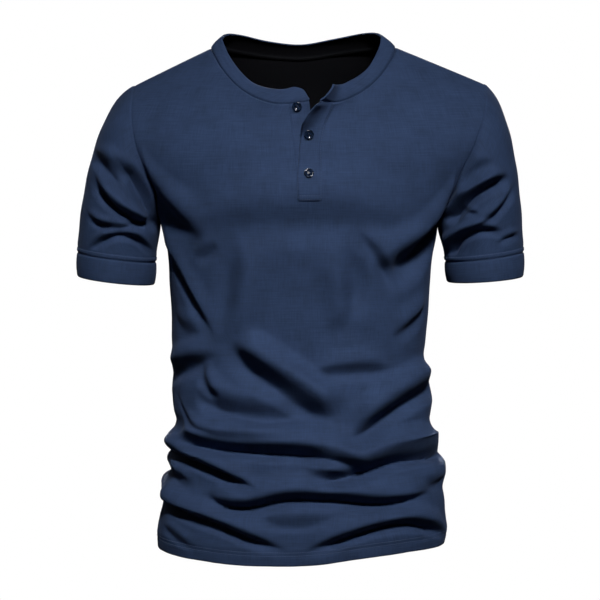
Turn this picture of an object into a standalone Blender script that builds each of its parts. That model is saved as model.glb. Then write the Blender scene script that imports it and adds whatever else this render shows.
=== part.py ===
"""Short-sleeved henley shirt of cotton jersey, hollow, in the shape that it has when it is worn.

Metres, +Z up. The front faces -Y. The origin lies in the middle of the neck, where the shoulders carry the shirt.
Each piece is a wall of cloth: a grid laid on the piece's outer points and extruded to its inner points.
"""

import math
from collections import namedtuple

import bmesh
import bpy
import numpy as np
from mathutils import Vector

SHIRT = "henley_shirt"

# Heights of the cut
HEM_Z = -0.630
ARMPIT_Z = -0.222
SLIT_Z = -0.186
NECK_FRONT_Z = -0.077

# Cloth
JERSEY = 0.0015
DOUBLED = 0.0023
HEM_TURN = 0.019
SEAM_GAP = 0.00034
BAND_GAP = 0.0006
PLACKET_PROUD = 0.0004
SLIT_GAP = 0.0005

# Grid of the body: how many strips of each stretch
ROWS_UNDER_ARM = 31
ROWS_TO_SLIT = 2
ROWS_TO_SHOULDER = 10
STRIPS_SHOULDER = 7
STRIPS_NECK = 8
STRIPS_NECK_BACK = 10
STRIPS_SLIT = 2
ROWS_SLEEVE = 12
ROWS_CUFF = 3
ROWS_BAND = 3
STRIPS_PLACKET = 4

# Form of the sections
SQUARENESS = 2.35
YOKE_SQUARENESS = 1.15
SHOULDER_ROUND = 2.6

# Buttons
BUTTON_RADIUS = 0.0058
BUTTON_THICK = 0.0024
BUTTON_SEAT = 0.0003
HOLE_RADIUS = 0.0007
HOLE_SPACING = 0.0013
HOLE_COUNT = 4

# Sections of the body, hem to neck: half widths to each side, how far the front and the back stand from the middle
Section = namedtuple("Section", "z left right front back")
SECTIONS = (
    Section(-0.630, 0.1825, 0.1845, 0.117, 0.104),
    Section(-0.613, 0.1810, 0.1845, 0.118, 0.105),
    Section(-0.590, 0.1780, 0.1820, 0.118, 0.105),
    Section(-0.567, 0.1730, 0.1805, 0.118, 0.104),
    Section(-0.552, 0.1745, 0.1780, 0.118, 0.103),
    Section(-0.532, 0.1630, 0.1815, 0.117, 0.102),
    Section(-0.512, 0.1700, 0.1775, 0.116, 0.101),
    Section(-0.498, 0.1670, 0.1700, 0.115, 0.099),
    Section(-0.484, 0.1610, 0.1610, 0.113, 0.097),
    Section(-0.468, 0.1560, 0.1610, 0.111, 0.095),
    Section(-0.453, 0.1595, 0.1630, 0.109, 0.093),
    Section(-0.437, 0.1620, 0.1645, 0.108, 0.091),
    Section(-0.422, 0.1630, 0.1620, 0.107, 0.090),
    Section(-0.394, 0.1590, 0.1530, 0.106, 0.088),
    Section(-0.369, 0.1615, 0.1553, 0.107, 0.088),
    Section(-0.331, 0.1613, 0.1588, 0.110, 0.090),
    Section(-0.294, 0.1636, 0.1611, 0.114, 0.094),
    Section(-0.256, 0.1662, 0.1646, 0.119, 0.099),
    Section(-0.222, 0.1740, 0.1745, 0.121, 0.103),
    Section(-0.186, 0.1800, 0.1800, 0.122, 0.106),
    Section(-0.150, 0.1870, 0.1900, 0.117, 0.107),
    Section(-0.118, 0.1980, 0.2040, 0.108, 0.104),
    Section(-0.077, 0.2060, 0.2180, 0.091, 0.095),
    Section(-0.040, 0.2066, 0.2276, 0.078, 0.083),
    Section(0.000, 0.2066, 0.2276, 0.064, 0.066),
)

# Armholes, armpit to shoulder tip: rise from 0 to 1, how far out each side lies, and the front and back edges
Armhole = namedtuple("Armhole", "rise left right front back")
ARMHOLE = (
    Armhole(0.00, 0.1740, 0.1745, 0.000, 0.000),
    Armhole(0.06, 0.1760, 0.1765, 0.022, 0.024),
    Armhole(0.15, 0.1780, 0.1800, 0.041, 0.044),
    Armhole(0.26, 0.1805, 0.1835, 0.053, 0.058),
    Armhole(0.41, 0.1865, 0.1910, 0.061, 0.069),
    Armhole(0.55, 0.1955, 0.2010, 0.061, 0.072),
    Armhole(0.73, 0.2035, 0.2110, 0.050, 0.064),
    Armhole(0.88, 0.2070, 0.2210, 0.030, 0.041),
    Armhole(1.00, 0.2066, 0.2276, -0.003, 0.003),
)

# Shoulder tips and neck points, left and right of the picture
TIP_LEFT = (-0.2070, 0.003, -0.0525)
TIP_RIGHT = (0.2276, 0.003, -0.0505)

# Neck, from each neck point: share of the way, the seam on the body, and the band's top edge
Neck = namedtuple("Neck", "along x y z top_x top_y top_z")
NECK_LEFT = (
    Neck(0.00, -0.1120, -0.004, -0.0078, -0.0980, -0.0020, 0.0072),
    Neck(0.12, -0.1065, -0.018, -0.0165, -0.0930, -0.0130, -0.0055),
    Neck(0.25, -0.1000, -0.032, -0.0285, -0.0850, -0.0270, -0.0205),
    Neck(0.38, -0.0900, -0.048, -0.0415, -0.0720, -0.0470, -0.0375),
    Neck(0.50, -0.0770, -0.062, -0.0550, -0.0578, -0.0610, -0.0503),
    Neck(0.62, -0.0575, -0.076, -0.0680, -0.0400, -0.0720, -0.0570),
    Neck(0.74, -0.0350, -0.087, -0.0758, -0.0225, -0.0790, -0.0588),
    Neck(0.86, -0.0150, -0.091, -0.0768, -0.0060, -0.0830, -0.0565),
    Neck(0.94, 0.0020, -0.092, -0.0752, 0.0045, -0.0850, -0.0610),
    Neck(1.00, 0.0095, -0.092, -0.0738, 0.0092, -0.0875, -0.0700),
)
NECK_RIGHT = (
    Neck(0.00, 0.1172, -0.004, -0.0065, 0.0994, -0.0020, 0.0085),
    Neck(0.12, 0.1122, -0.018, -0.0188, 0.0962, -0.0130, -0.0048),
    Neck(0.25, 0.1045, -0.032, -0.0315, 0.0895, -0.0280, -0.0190),
    Neck(0.38, 0.0950, -0.047, -0.0435, 0.0800, -0.0450, -0.0330),
    Neck(0.50, 0.0830, -0.060, -0.0550, 0.0687, -0.0560, -0.0424),
    Neck(0.62, 0.0680, -0.073, -0.0650, 0.0590, -0.0645, -0.0480),
    Neck(0.74, 0.0530, -0.082, -0.0720, 0.0520, -0.0710, -0.0518),
    Neck(0.86, 0.0400, -0.091, -0.0755, 0.0460, -0.0790, -0.0538),
    Neck(1.00, 0.0250, -0.106, -0.0725, 0.0395, -0.0940, -0.0550),
)
NECK_BACK = (
    Neck(0.00, 0.1172, -0.004, -0.0065, 0.0994, -0.0020, 0.0085),
    Neck(0.10, 0.1115, 0.018, -0.0030, 0.0950, 0.0150, 0.0132),
    Neck(0.25, 0.0870, 0.044, -0.0050, 0.0760, 0.0350, 0.0138),
    Neck(0.38, 0.0460, 0.064, -0.0100, 0.0400, 0.0530, 0.0078),
    Neck(0.50, 0.0000, 0.071, -0.0160, 0.0000, 0.0610, 0.0015),
    Neck(0.62, -0.0460, 0.064, -0.0130, -0.0400, 0.0530, 0.0050),
    Neck(0.75, -0.0860, 0.044, -0.0070, -0.0740, 0.0350, 0.0118),
    Neck(0.90, -0.1075, 0.018, -0.0045, -0.0935, 0.0150, 0.0122),
    Neck(1.00, -0.1120, -0.004, -0.0078, -0.0980, -0.0020, 0.0072),
)
BODY_SHARE = 0.86
BAND_CROWN = 0.0012

# Edges of the slit in the front, which the lower placket fills
Slit = namedtuple("Slit", "z left right")
SLIT = (
    Slit(-0.222, -0.005, 0.022),
    Slit(-0.186, -0.005, 0.022),
    Slit(-0.140, -0.008, 0.022),
    Slit(-0.110, -0.011, 0.023),
    Slit(-0.095, -0.013, 0.028),
    Slit(-0.077, -0.015, 0.040),
)
# The lower placket's free edge
Edge = namedtuple("Edge", "z x")
UNDER_EDGE = (
    Edge(-0.1855, 0.0212),
    Edge(-0.155, 0.0212),
    Edge(-0.135, 0.0203),
    Edge(-0.112, 0.017),
    Edge(-0.095, 0.0125),
    Edge(-0.077, 0.0100),
)
# The upper placket's two edges, and how far each stands off the shirt where its open corner turns outwards
Flap = namedtuple("Flap", "along left_x left_z left_lift right_x right_z right_lift")
FLAP = (
    Flap(0.00, -0.0048, -0.1916, 0.0, 0.0250, -0.1916, 0.0),
    Flap(0.35, -0.0046, -0.1500, 0.0, 0.0250, -0.1500, 0.0),
    Flap(0.60, -0.0015, -0.1200, 0.0012, 0.0255, -0.1200, 0.0),
    Flap(0.76, 0.0030, -0.1010, 0.0050, 0.0290, -0.1030, 0.0004),
    Flap(0.88, 0.0120, -0.0870, 0.0105, 0.0350, -0.0890, 0.0010),
    Flap(1.00, 0.0250, -0.0732, 0.0150, 0.0400, -0.0760, 0.0016),
)

# How much higher the hem hangs, by the turn from the middle of the front in degrees: 90 is the right side seam
Hang = namedtuple("Hang", "turn lift")
HEM_HANG = (
    Hang(-90, 0.0015),
    Hang(-60, 0.0020),
    Hang(-25, -0.0008),
    Hang(5, 0.0),
    Hang(24, 0.0065),
    Hang(46, 0.0105),
    Hang(62, 0.0100),
    Hang(90, 0.0050),
    Hang(150, 0.0),
    Hang(270, 0.0015),
)
HEM_HANG_REACH = 0.10

# Folds: a line drawn on the front view through three points, a crest above it and a hollow below it
Fold = namedtuple("Fold", "start middle end height above below")
FRONT_FOLDS = (
    Fold((-0.140, -0.476), (-0.020, -0.484), (0.074, -0.503), 0.0075, 0.040, 0.026),
    Fold((0.020, -0.518), (0.090, -0.495), (0.160, -0.481), 0.0070, 0.036, 0.024),
    Fold((-0.165, -0.484), (-0.108, -0.505), (-0.050, -0.534), 0.0070, 0.030, 0.026),
    Fold((-0.106, -0.548), (0.015, -0.545), (0.150, -0.540), 0.0065, 0.034, 0.024),
    Fold((-0.158, -0.552), (-0.088, -0.580), (-0.022, -0.607), 0.0060, 0.030, 0.022),
    Fold((0.018, -0.607), (0.088, -0.577), (0.168, -0.584), 0.0060, 0.032, 0.020),
    Fold((-0.066, -0.379), (-0.008, -0.417), (0.038, -0.452), 0.0060, 0.034, 0.030),
    Fold((-0.116, -0.421), (-0.040, -0.434), (0.034, -0.447), 0.0050, 0.030, 0.028),
    Fold((-0.156, -0.390), (-0.125, -0.379), (-0.098, -0.371), 0.0045, 0.026, 0.022),
    Fold((0.082, -0.458), (0.108, -0.432), (0.160, -0.419), 0.0065, 0.034, 0.026),
    Fold((0.034, -0.395), (0.056, -0.393), (0.080, -0.391), 0.0030, 0.026, 0.022),
    Fold((-0.180, -0.176), (-0.146, -0.207), (-0.110, -0.238), 0.0050, 0.034, 0.026),
    Fold((-0.164, -0.254), (-0.132, -0.292), (-0.106, -0.333), 0.0030, 0.026, 0.022),
    Fold((0.108, -0.256), (0.142, -0.226), (0.178, -0.192), 0.0050, 0.034, 0.026),
    Fold((0.080, -0.236), (0.100, -0.266), (0.116, -0.297), 0.0025, 0.024, 0.020),
    Fold((0.114, -0.345), (0.132, -0.331), (0.150, -0.316), 0.0025, 0.024, 0.020),
)
BACK_FOLDS = (
    Fold((-0.150, -0.470), (-0.060, -0.488), (0.030, -0.498), 0.0070, 0.038, 0.026),
    Fold((-0.020, -0.528), (0.070, -0.508), (0.158, -0.486), 0.0070, 0.036, 0.024),
    Fold((-0.160, -0.516), (-0.100, -0.536), (-0.030, -0.552), 0.0060, 0.032, 0.024),
    Fold((-0.090, -0.586), (0.010, -0.572), (0.120, -0.560), 0.0060, 0.034, 0.024),
    Fold((-0.158, -0.585), (-0.120, -0.598), (-0.070, -0.608), 0.0045, 0.028, 0.020),
    Fold((0.060, -0.608), (0.110, -0.596), (0.160, -0.590), 0.0045, 0.028, 0.020),
    Fold((-0.120, -0.414), (-0.040, -0.436), (0.040, -0.440), 0.0060, 0.036, 0.028),
    Fold((0.020, -0.418), (0.080, -0.400), (0.150, -0.384), 0.0055, 0.034, 0.028),
    Fold((-0.150, -0.368), (-0.100, -0.384), (-0.040, -0.392), 0.0045, 0.034, 0.028),
    Fold((-0.176, -0.186), (-0.140, -0.214), (-0.102, -0.246), 0.0050, 0.034, 0.028),
    Fold((0.104, -0.248), (0.140, -0.218), (0.176, -0.188), 0.0050, 0.034, 0.028),
    Fold((-0.060, -0.352), (0.010, -0.360), (0.080, -0.350), 0.0030, 0.036, 0.030),
)
SLEEVE_FOLDS = (
    Fold((-0.252, -0.166), (-0.218, -0.196), (-0.186, -0.217), 0.0055, 0.026, 0.018),
    Fold((-0.258, -0.206), (-0.236, -0.217), (-0.208, -0.220), 0.0030, 0.018, 0.014),
    Fold((-0.262, -0.250), (-0.218, -0.229), (-0.180, -0.250), 0.0030, 0.018, 0.014),
    Fold((0.178, -0.207), (0.212, -0.177), (0.254, -0.158), 0.0055, 0.028, 0.018),
    Fold((0.214, -0.218), (0.244, -0.196), (0.262, -0.174), 0.0030, 0.018, 0.014),
    Fold((0.180, -0.254), (0.208, -0.227), (0.250, -0.224), 0.0035, 0.018, 0.014),
    Fold((0.190, -0.154), (0.208, -0.141), (0.232, -0.127), 0.0030, 0.020, 0.016),
)
FOLD_STEPS = 25
HOLLOW_SHARE = 0.55
FACING_FULL = 0.55
FRONT = -1.0
BACK = 1.0

# Sleeves: where the cuff's seam lies, and how the cloth leaves the armhole and meets the cuff
Cuff = namedtuple("Cuff", "outer_x inner_x outer_z inner_z middle_y half_depth")
CUFF_SEAM_LEFT = Cuff(-0.2783, -0.1810, -0.2580, -0.2710, -0.001, 0.057)
CUFF_EDGE_LEFT = Cuff(-0.2786, -0.1835, -0.2880, -0.2995, -0.001, 0.057)
CUFF_SEAM_RIGHT = Cuff(0.2770, 0.1797, -0.2578, -0.2702, -0.001, 0.057)
CUFF_EDGE_RIGHT = Cuff(0.2768, 0.1828, -0.2885, -0.2962, -0.001, 0.057)
Pull = namedtuple("Pull", "outer inner forward")
LEAVE_LEFT = Pull((0.150, -0.075), (0.004, -0.045), 0.040)
LEAVE_RIGHT = Pull((0.120, -0.095), (0.004, -0.045), 0.040)
ARRIVE = Pull((0.010, -0.190), (0.006, -0.048), 0.0)
CUFF_PROUD = 0.0006
CUFF_BELLY = 0.0010

# Buttons: where each one sits on the front view, and on which piece
Button = namedtuple("Button", "x z on")
BUTTONS = (
    Button(-0.0048, -0.0806, "placket_under"),
    Button(0.0092, -0.1137, "placket_top"),
    Button(0.0092, -0.1590, "placket_top"),
)

Finish = namedtuple("Finish", "colour roughness")
JERSEY_FINISH = Finish((0.020, 0.036, 0.082, 1.0), 0.88)
BAND_FINISH = Finish((0.022, 0.038, 0.086, 1.0), 0.86)
BUTTON_FINISH = Finish((0.014, 0.024, 0.060, 1.0), 0.25)


def column(table, name):
    """One named column of a table, as an array."""
    return np.array([getattr(row, name) for row in table])


def curve(places, values, at):
    """A smooth curve through a table's values, read at any places."""
    slopes = np.gradient(values, places, axis=0)
    at = np.clip(at, places[0], places[-1])
    k = np.clip(np.searchsorted(places, at, side="right") - 1, 0, len(places) - 2)
    step = places[k + 1] - places[k]
    t = (at - places[k]) / step
    start = (1 + 2 * t) * (1 - t) ** 2 * values[k] + t * (1 - t) ** 2 * step * slopes[k]
    end = t * t * (3 - 2 * t) * values[k + 1] + t * t * (t - 1) * step * slopes[k + 1]
    return start + end


def read(table, key, name, at):
    """A table's column as a smooth function of its key column."""
    return curve(column(table, key), column(table, name), np.asarray(at, dtype=float))


def neck_points(table, along, edge=""):
    """Points of the neck's seam, or with edge "top_" of the band's top."""
    return np.stack([read(table, "along", edge + axis, along) for axis in "xyz"], axis=-1)


def unit(vectors):
    """Vectors scaled to length one."""
    return vectors / np.maximum(np.linalg.norm(vectors, axis=-1, keepdims=True), 1e-12)


def normals(grid, outward=1.0, ring=False):
    """Directions square to a grid of points."""
    if ring:
        wrapped = np.concatenate([grid[:, -2:-1], grid, grid[:, 1:2]], axis=1)
        across = np.gradient(wrapped, axis=1)[:, 1:-1]
    else:
        across = np.gradient(grid, axis=1)
    return unit(np.cross(across, np.gradient(grid, axis=0))) * outward


def swell(share):
    """A rise from 0 to 1 at a third of the way, easing back to 0 at the end."""
    share = np.clip(share, 0.0, 1.0)
    return 6.75 * share * (1.0 - share) ** 2


def fold_height(x, z, fold):
    """Height that a fold adds at points of the front view."""
    along = np.linspace(0.0, 1.0, FOLD_STEPS)
    ends = (1 - along[:, None]) * (1 - 2 * along[:, None]) * np.array(fold.start)
    ends = ends + along[:, None] * (2 * along[:, None] - 1) * np.array(fold.end)
    line = ends + 4 * along[:, None] * (1 - along[:, None]) * np.array(fold.middle)
    heading = unit(np.gradient(line, axis=0))
    away = np.stack([x, z], axis=-1)[..., None, :] - line
    distance = np.linalg.norm(away, axis=-1)
    nearest = distance.argmin(axis=-1)
    offset = np.take_along_axis(away, nearest[..., None, None], axis=-2)[..., 0, :]
    side = heading[nearest][..., 0] * offset[..., 1] - heading[nearest][..., 1] * offset[..., 0]
    gap = distance.min(axis=-1)
    fade = np.sin(math.pi * along[nearest]) ** 0.7
    return fold.height * fade * np.where(side >= 0.0, swell(gap / fold.above), -HOLLOW_SHARE * swell(gap / fold.below))


def folded(grid, folds, side, outward=1.0, ring=False, ramp=1.0):
    """A grid with folds raised on it where it faces the given side."""
    square = normals(grid, outward, ring)
    facing = np.clip(square[..., 1] * side / FACING_FULL, 0.0, 1.0) * ramp
    height = sum(fold_height(grid[..., 0], grid[..., 2], fold) for fold in folds)
    return grid + square * (height * facing)[..., None]


def rises():
    """Heights of the rows above the armpit, as shares of each strip's own height."""
    slit = (SLIT_Z - ARMPIT_Z) / (NECK_FRONT_Z - ARMPIT_Z)
    low = np.linspace(0.0, slit, ROWS_TO_SLIT + 1)
    eased = 1.0 - (1.0 - np.linspace(0.0, 1.0, ROWS_TO_SHOULDER + 1)) ** 1.5
    return np.concatenate([low[:-1], slit + (1.0 - slit) * eased])


def under_arm_heights():
    """Heights of the rows from the hem to the armpit, closer where the cloth bunches."""
    share = np.linspace(0.0, 1.0, ROWS_UNDER_ARM + 1)
    hem_row = HEM_Z + HEM_TURN
    z = HEM_Z + (ARMPIT_Z - HEM_Z) * (0.72 * share + 0.28 * share ** 2.4)
    z[2] = hem_row
    z[1] = (HEM_Z + hem_row) / 2
    return z


def strip_tops(shoulder_tip, neck_table, shares):
    """Top ends of a side's strips: along the neck from the middle, then out along the shoulder seam."""
    neck = neck_points(neck_table, shares)
    out = np.linspace(0.0, 1.0, STRIPS_SHOULDER + 1)[1:, None]
    shoulder = neck[-1] + (np.array(shoulder_tip) - neck[-1]) * out
    return np.concatenate([neck, shoulder])


def side_strips(sign, side, tops, inner_edge):
    """Half of a panel: strips from its inner edge (first) to its side seam and armhole (last)."""
    share = np.linspace(0.0, 1.0, len(tops))
    half = "left" if sign < 0 else "right"
    depth = "front" if side == FRONT else "back"
    rows = []
    for z in under_arm_heights():
        width = float(read(SECTIONS, "z", half, z))
        start = sign * inner_edge(z) / width
        reach = start + (1.0 - start) * np.sin(share * math.pi / 2)
        bow = np.clip(1.0 - np.abs(reach) ** SQUARENESS, 0.0, 1.0) ** (1.0 / SQUARENESS)
        y = side * float(read(SECTIONS, "z", depth, z)) * bow
        rows.append(np.stack([sign * width * reach, y, np.full_like(y, z)], axis=-1))
    for rise in rises()[1:]:
        z = ARMPIT_Z + (tops[:, 2] - ARMPIT_Z) * rise
        edge_x = float(read(ARMHOLE, "rise", half, rise))
        edge_y = side * float(read(ARMHOLE, "rise", depth, rise))
        opened = min(1.0, rise / 0.35)
        power = SQUARENESS + (YOKE_SQUARENESS - SQUARENESS) * opened * (2 - opened)
        start = sign * inner_edge(z[0]) / edge_x
        even = share + (np.sin(share * math.pi / 2) - share) * (1 - opened) ** 1.5
        reach = start + (1.0 - start) * even
        level_x = sign * edge_x * reach
        blend = rise ** 2
        x = level_x + (tops[:, 0] - level_x) * blend
        x = x + (inner_edge(z[0]) - x[0]) * (1.0 - share) ** 4
        bow = np.clip(1.0 - np.clip(reach, 0.0, 1.0) ** SQUARENESS, 0.0, 1.0) ** (1.0 / power)
        section_y = edge_y + (side * read(SECTIONS, "z", depth, z) - edge_y) * bow
        y = tops[:, 1] + (section_y - tops[:, 1]) * (1.0 - min(rise, 1.0) ** SHOULDER_ROUND) ** 0.5
        y = y + (edge_y - y[-1]) * share ** 8
        rows.append(np.stack([x, y, z], axis=-1))
    return np.array(rows)


def front_grid():
    """The front's outer points, columns from the left of the picture to the right."""
    shares = np.linspace(BODY_SHARE, 0.0, STRIPS_NECK + 1)
    left = side_strips(-1.0, FRONT, strip_tops(TIP_LEFT, NECK_LEFT, shares),
                       lambda z: float(read(SLIT, "z", "left", z)))
    right = side_strips(1.0, FRONT, strip_tops(TIP_RIGHT, NECK_RIGHT, shares),
                        lambda z: float(read(SLIT, "z", "right", z)))
    across = np.linspace(0.0, 1.0, STRIPS_SLIT + 1)[1:-1, None]
    middle = left[:, :1] + (right[:, :1] - left[:, :1]) * across
    return np.concatenate([left[:, ::-1], middle, right], axis=1)


def back_grid():
    """The back's outer points, columns from the right of the picture to the left."""
    half = STRIPS_NECK_BACK // 2
    right = side_strips(1.0, BACK, strip_tops(TIP_RIGHT, NECK_BACK, np.linspace(0.5, 0.0, half + 1)), lambda z: 0.0)
    left = side_strips(-1.0, BACK, strip_tops(TIP_LEFT, NECK_BACK, np.linspace(0.5, 1.0, half + 1)), lambda z: 0.0)
    return np.concatenate([right[:, ::-1], left[:, 1:]], axis=1)


def hung(grid, side):
    """A panel whose hem hangs higher where the shirt is drawn up."""
    x, z = grid[..., 0], grid[..., 2]
    width = np.where(x < 0, read(SECTIONS, "z", "left", z), read(SECTIONS, "z", "right", z))
    turn = np.degrees(np.arcsin(np.clip(x / width, -1.0, 1.0)))
    near = np.clip(1.0 - (z - HEM_Z) / HEM_HANG_REACH, 0.0, 1.0)
    lift = read(HEM_HANG, "turn", "lift", turn if side == FRONT else 180.0 - turn) * near ** 2 * (3 - 2 * near)
    return grid + lift[..., None] * np.array([0.0, 0.0, 1.0])


def cuff_ring(cuff, turns):
    """A ring of the sleeve's end, from the armpit round the front: turns go from 0 to 1."""
    angle = 2 * math.pi * turns
    inward = (1 + np.cos(angle)) / 2
    x = cuff.outer_x + (cuff.inner_x - cuff.outer_x) * inward
    z = cuff.outer_z + (cuff.inner_z - cuff.outer_z) * inward
    return np.stack([x, cuff.middle_y - cuff.half_depth * np.sin(angle), z], axis=-1)


def pulls(pull, turns, sign):
    """Directions of the sleeve's cloth round a ring."""
    angle = 2 * math.pi * turns
    outward = (1 - np.cos(angle))[:, None] / 2
    flat = np.array(pull.inner) + (np.array(pull.outer) - np.array(pull.inner)) * outward
    return np.stack([sign * flat[:, 0], -pull.forward * np.sin(angle), flat[:, 1]], axis=-1)


def ring_turns(loop):
    """How far round the armhole each of its points lies, from 0 to 1, with the shoulder tip at one half."""
    steps = np.linalg.norm(np.diff(loop, axis=0), axis=1)
    walked = np.concatenate([[0.0], np.cumsum(steps)])
    tip = len(loop) // 2
    front = walked[:tip + 1] / walked[tip] / 2
    back = 0.5 + (walked[tip + 1:] - walked[tip]) / (walked[-1] - walked[tip]) / 2
    return np.concatenate([front, back])


def sleeve_grid(loop, seam, leaving, sign):
    """A sleeve's outer points, rows from the armhole to the cuff's seam."""
    turns = ring_turns(loop)
    end = cuff_ring(seam, turns)
    leave = pulls(leaving, turns, sign)
    arrive = pulls(ARRIVE, turns, sign)
    rows = []
    for t in np.linspace(0.0, 1.0, ROWS_SLEEVE + 1) ** 1.15:
        start_part = (1 + 2 * t) * (1 - t) ** 2 * loop + t * (1 - t) ** 2 * leave
        rows.append(start_part + t * t * (3 - 2 * t) * end + t * t * (t - 1) * arrive)
    grid = np.array(rows)
    fade = np.sin(math.pi * np.linspace(0.0, 1.0, ROWS_SLEEVE + 1)) ** 0.6
    for side in (FRONT, BACK):
        grid = folded(grid, SLEEVE_FOLDS, side, -sign, True, fade[:, None])
    return grid


def cuff_grid(seam, edge, turns):
    """A cuff's outer points, rows from its seam down to its free edge, with a slight belly."""
    top = cuff_ring(seam, turns)
    bottom = cuff_ring(edge, turns)
    middle = top.mean(axis=0)
    out = unit((top - middle) * np.array([1.0, 1.0, 0.0]))
    rows = []
    for t in np.linspace(0.0, 1.0, ROWS_CUFF + 1):
        proud = CUFF_PROUD + CUFF_BELLY * math.sin(math.pi * t)
        rows.append(top + (bottom - top) * t + out * proud)
    return np.array(rows)


def band_grid():
    """The neckband's outer points, from its left end round the back to its open right end."""
    ends = np.linspace(1.0, BODY_SHARE, 4)
    neck = np.linspace(BODY_SHARE, 0.0, STRIPS_NECK + 1)
    left = np.concatenate([ends, neck[1:]])
    right = left[::-1]
    back = np.linspace(1.0, 0.0, STRIPS_NECK_BACK + 1)[1:-1]
    rows = []
    for t in np.linspace(0.0, 1.0, ROWS_BAND + 1):
        stretches = []
        for table, shares in ((NECK_LEFT, left), (NECK_BACK, back), (NECK_RIGHT, right)):
            low = neck_points(table, shares)
            stretches.append(low + (neck_points(table, shares, "top_") - low) * t)
        rows.append(np.concatenate(stretches))
    grid = np.array(rows)
    crown = BAND_CROWN * np.sin(math.pi * np.linspace(0.0, 1.0, ROWS_BAND + 1))
    return grid + normals(grid, -1.0) * crown[:, None, None]


def depth_on(panel, x, z):
    """Depth of a panel's outer side at a point of the front view."""
    xs = [np.interp(z, strip[:, 2], strip[:, 0]) for strip in panel.transpose(1, 0, 2)]
    ys = [np.interp(z, strip[:, 2], strip[:, 1]) for strip in panel.transpose(1, 0, 2)]
    return np.interp(x, xs, ys)


def under_placket_grid(front):
    """The lower placket's outer points, flush in the slit."""
    rows = []
    for z in np.linspace(SLIT_Z + 2 * SEAM_GAP, NECK_FRONT_Z, 13):
        left = float(read(SLIT, "z", "left", z)) + SLIT_GAP
        right = float(read(UNDER_EDGE, "z", "x", z))
        xs = left + (right - left) * np.linspace(0.0, 1.0, STRIPS_PLACKET)
        rows.append([(x, depth_on(front, x, z), z) for x in xs])
    grid = np.array(rows)
    grid[-1] = neck_points(NECK_LEFT, np.linspace(BODY_SHARE, 1.0, STRIPS_PLACKET))
    return grid


def top_placket_grid(front):
    """The upper placket's inner points, on the front and its lower placket, its open corner turned outwards."""
    rows = []
    for along in np.linspace(0.0, 1.0, 17):
        at = {name: float(read(FLAP, "along", name, along)) for name in Flap._fields[1:]}
        points = []
        for t in np.linspace(0.0, 1.0, STRIPS_PLACKET + 1):
            x = at["left_x"] + (at["right_x"] - at["left_x"]) * t
            z = at["left_z"] + (at["right_z"] - at["left_z"]) * t
            lift = at["right_lift"] + (at["left_lift"] - at["right_lift"]) * (1 - t) ** 1.3
            points.append((x, depth_on(front, x, z) - PLACKET_PROUD - lift, z))
        rows.append(points)
    return np.array(rows)


class Piece:
    """A piece of cloth: its name, grid of outer points, directions outwards and thickness."""

    def __init__(self, name, grid, outward, thick, finish, ring=False, gap=SEAM_GAP):
        self.name = name
        self.grid = grid
        self.square = normals(grid, outward, ring)
        self.thick = np.full(grid.shape[:2], thick)
        self.finish = finish
        self.ring = ring
        self.gap = gap

    def walls(self):
        """Outer and inner points, drawn back from every seam by half its gap."""
        outer = self.grid.copy()
        inner = self.grid - self.square * self.thick[..., None]
        for layer in (outer, inner):
            source = layer.copy()
            layer[0] += unit(source[1] - source[0]) * self.gap / 2
            layer[-1] += unit(source[-2] - source[-1]) * self.gap / 2
            if not self.ring:
                layer[:, 0] += unit(source[:, 1] - source[:, 0]) * self.gap / 2
                layer[:, -1] += unit(source[:, -2] - source[:, -1]) * self.gap / 2
        return outer, inner


def share_edges(*edges):
    """Give the pieces that meet at a seam the same direction outwards there."""
    total = sum(square for square, _ in edges)
    agree = np.linalg.norm(total, axis=-1, keepdims=True) / len(edges)
    for square, write in edges:
        write(np.where(agree > 0.55, unit(total), square))


def edge(piece, rows, columns):
    """An edge of a piece, as its directions and a function that writes new ones."""
    def write(values):
        piece.square[rows, columns] = values
    return piece.square[rows, columns].copy(), write


def material(name, finish):
    """A plain material of one finish."""
    made = bpy.data.materials.new(name)
    made.use_nodes = True
    shader = made.node_tree.nodes["Principled BSDF"]
    shader.inputs["Base Color"].default_value = finish.colour
    shader.inputs["Roughness"].default_value = finish.roughness
    shader.inputs["Metallic"].default_value = 0.0
    return made


def collection(name):
    """A new collection in the scene."""
    made = bpy.data.collections.new(name)
    bpy.context.scene.collection.children.link(made)
    return made


def wall_of(piece, home, left_out=None):
    """Build a piece: a grid on its outer points, extruded to its inner points."""
    outer, inner = piece.walls()
    rows, columns = outer.shape[:2]
    form = bmesh.new()
    row_of = form.verts.layers.int.new("row")
    column_of = form.verts.layers.int.new("column")
    bmesh.ops.create_grid(form, x_segments=columns - 1, y_segments=rows - 1, size=1.0)
    for vert in form.verts:
        vert[column_of] = round((vert.co.x + 1) / 2 * (columns - 1))
        vert[row_of] = round((vert.co.y + 1) / 2 * (rows - 1))
    if left_out:
        cut = [face for face in form.faces
               if left_out(min(v[row_of] for v in face.verts), min(v[column_of] for v in face.verts))]
        bmesh.ops.delete(form, geom=cut, context="FACES")
    for vert in form.verts:
        vert.co = Vector(outer[vert[row_of], vert[column_of]])
    if piece.ring:
        bmesh.ops.remove_doubles(form, verts=form.verts, dist=1e-6)
    grown = bmesh.ops.extrude_face_region(form, geom=form.faces[:], use_keep_orig=True)["geom"]
    for vert in grown:
        if isinstance(vert, bmesh.types.BMVert):
            vert.co = Vector(inner[vert[row_of], vert[column_of]])
    bmesh.ops.recalc_face_normals(form, faces=form.faces)
    mesh = bpy.data.meshes.new(piece.name)
    form.to_mesh(mesh)
    form.free()
    mesh.shade_smooth()
    mesh.set_sharp_from_angle(angle=math.radians(50))
    mesh.materials.append(material(piece.name, piece.finish))
    made = bpy.data.objects.new(piece.name, mesh)
    home.objects.link(made)
    return made


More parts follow.
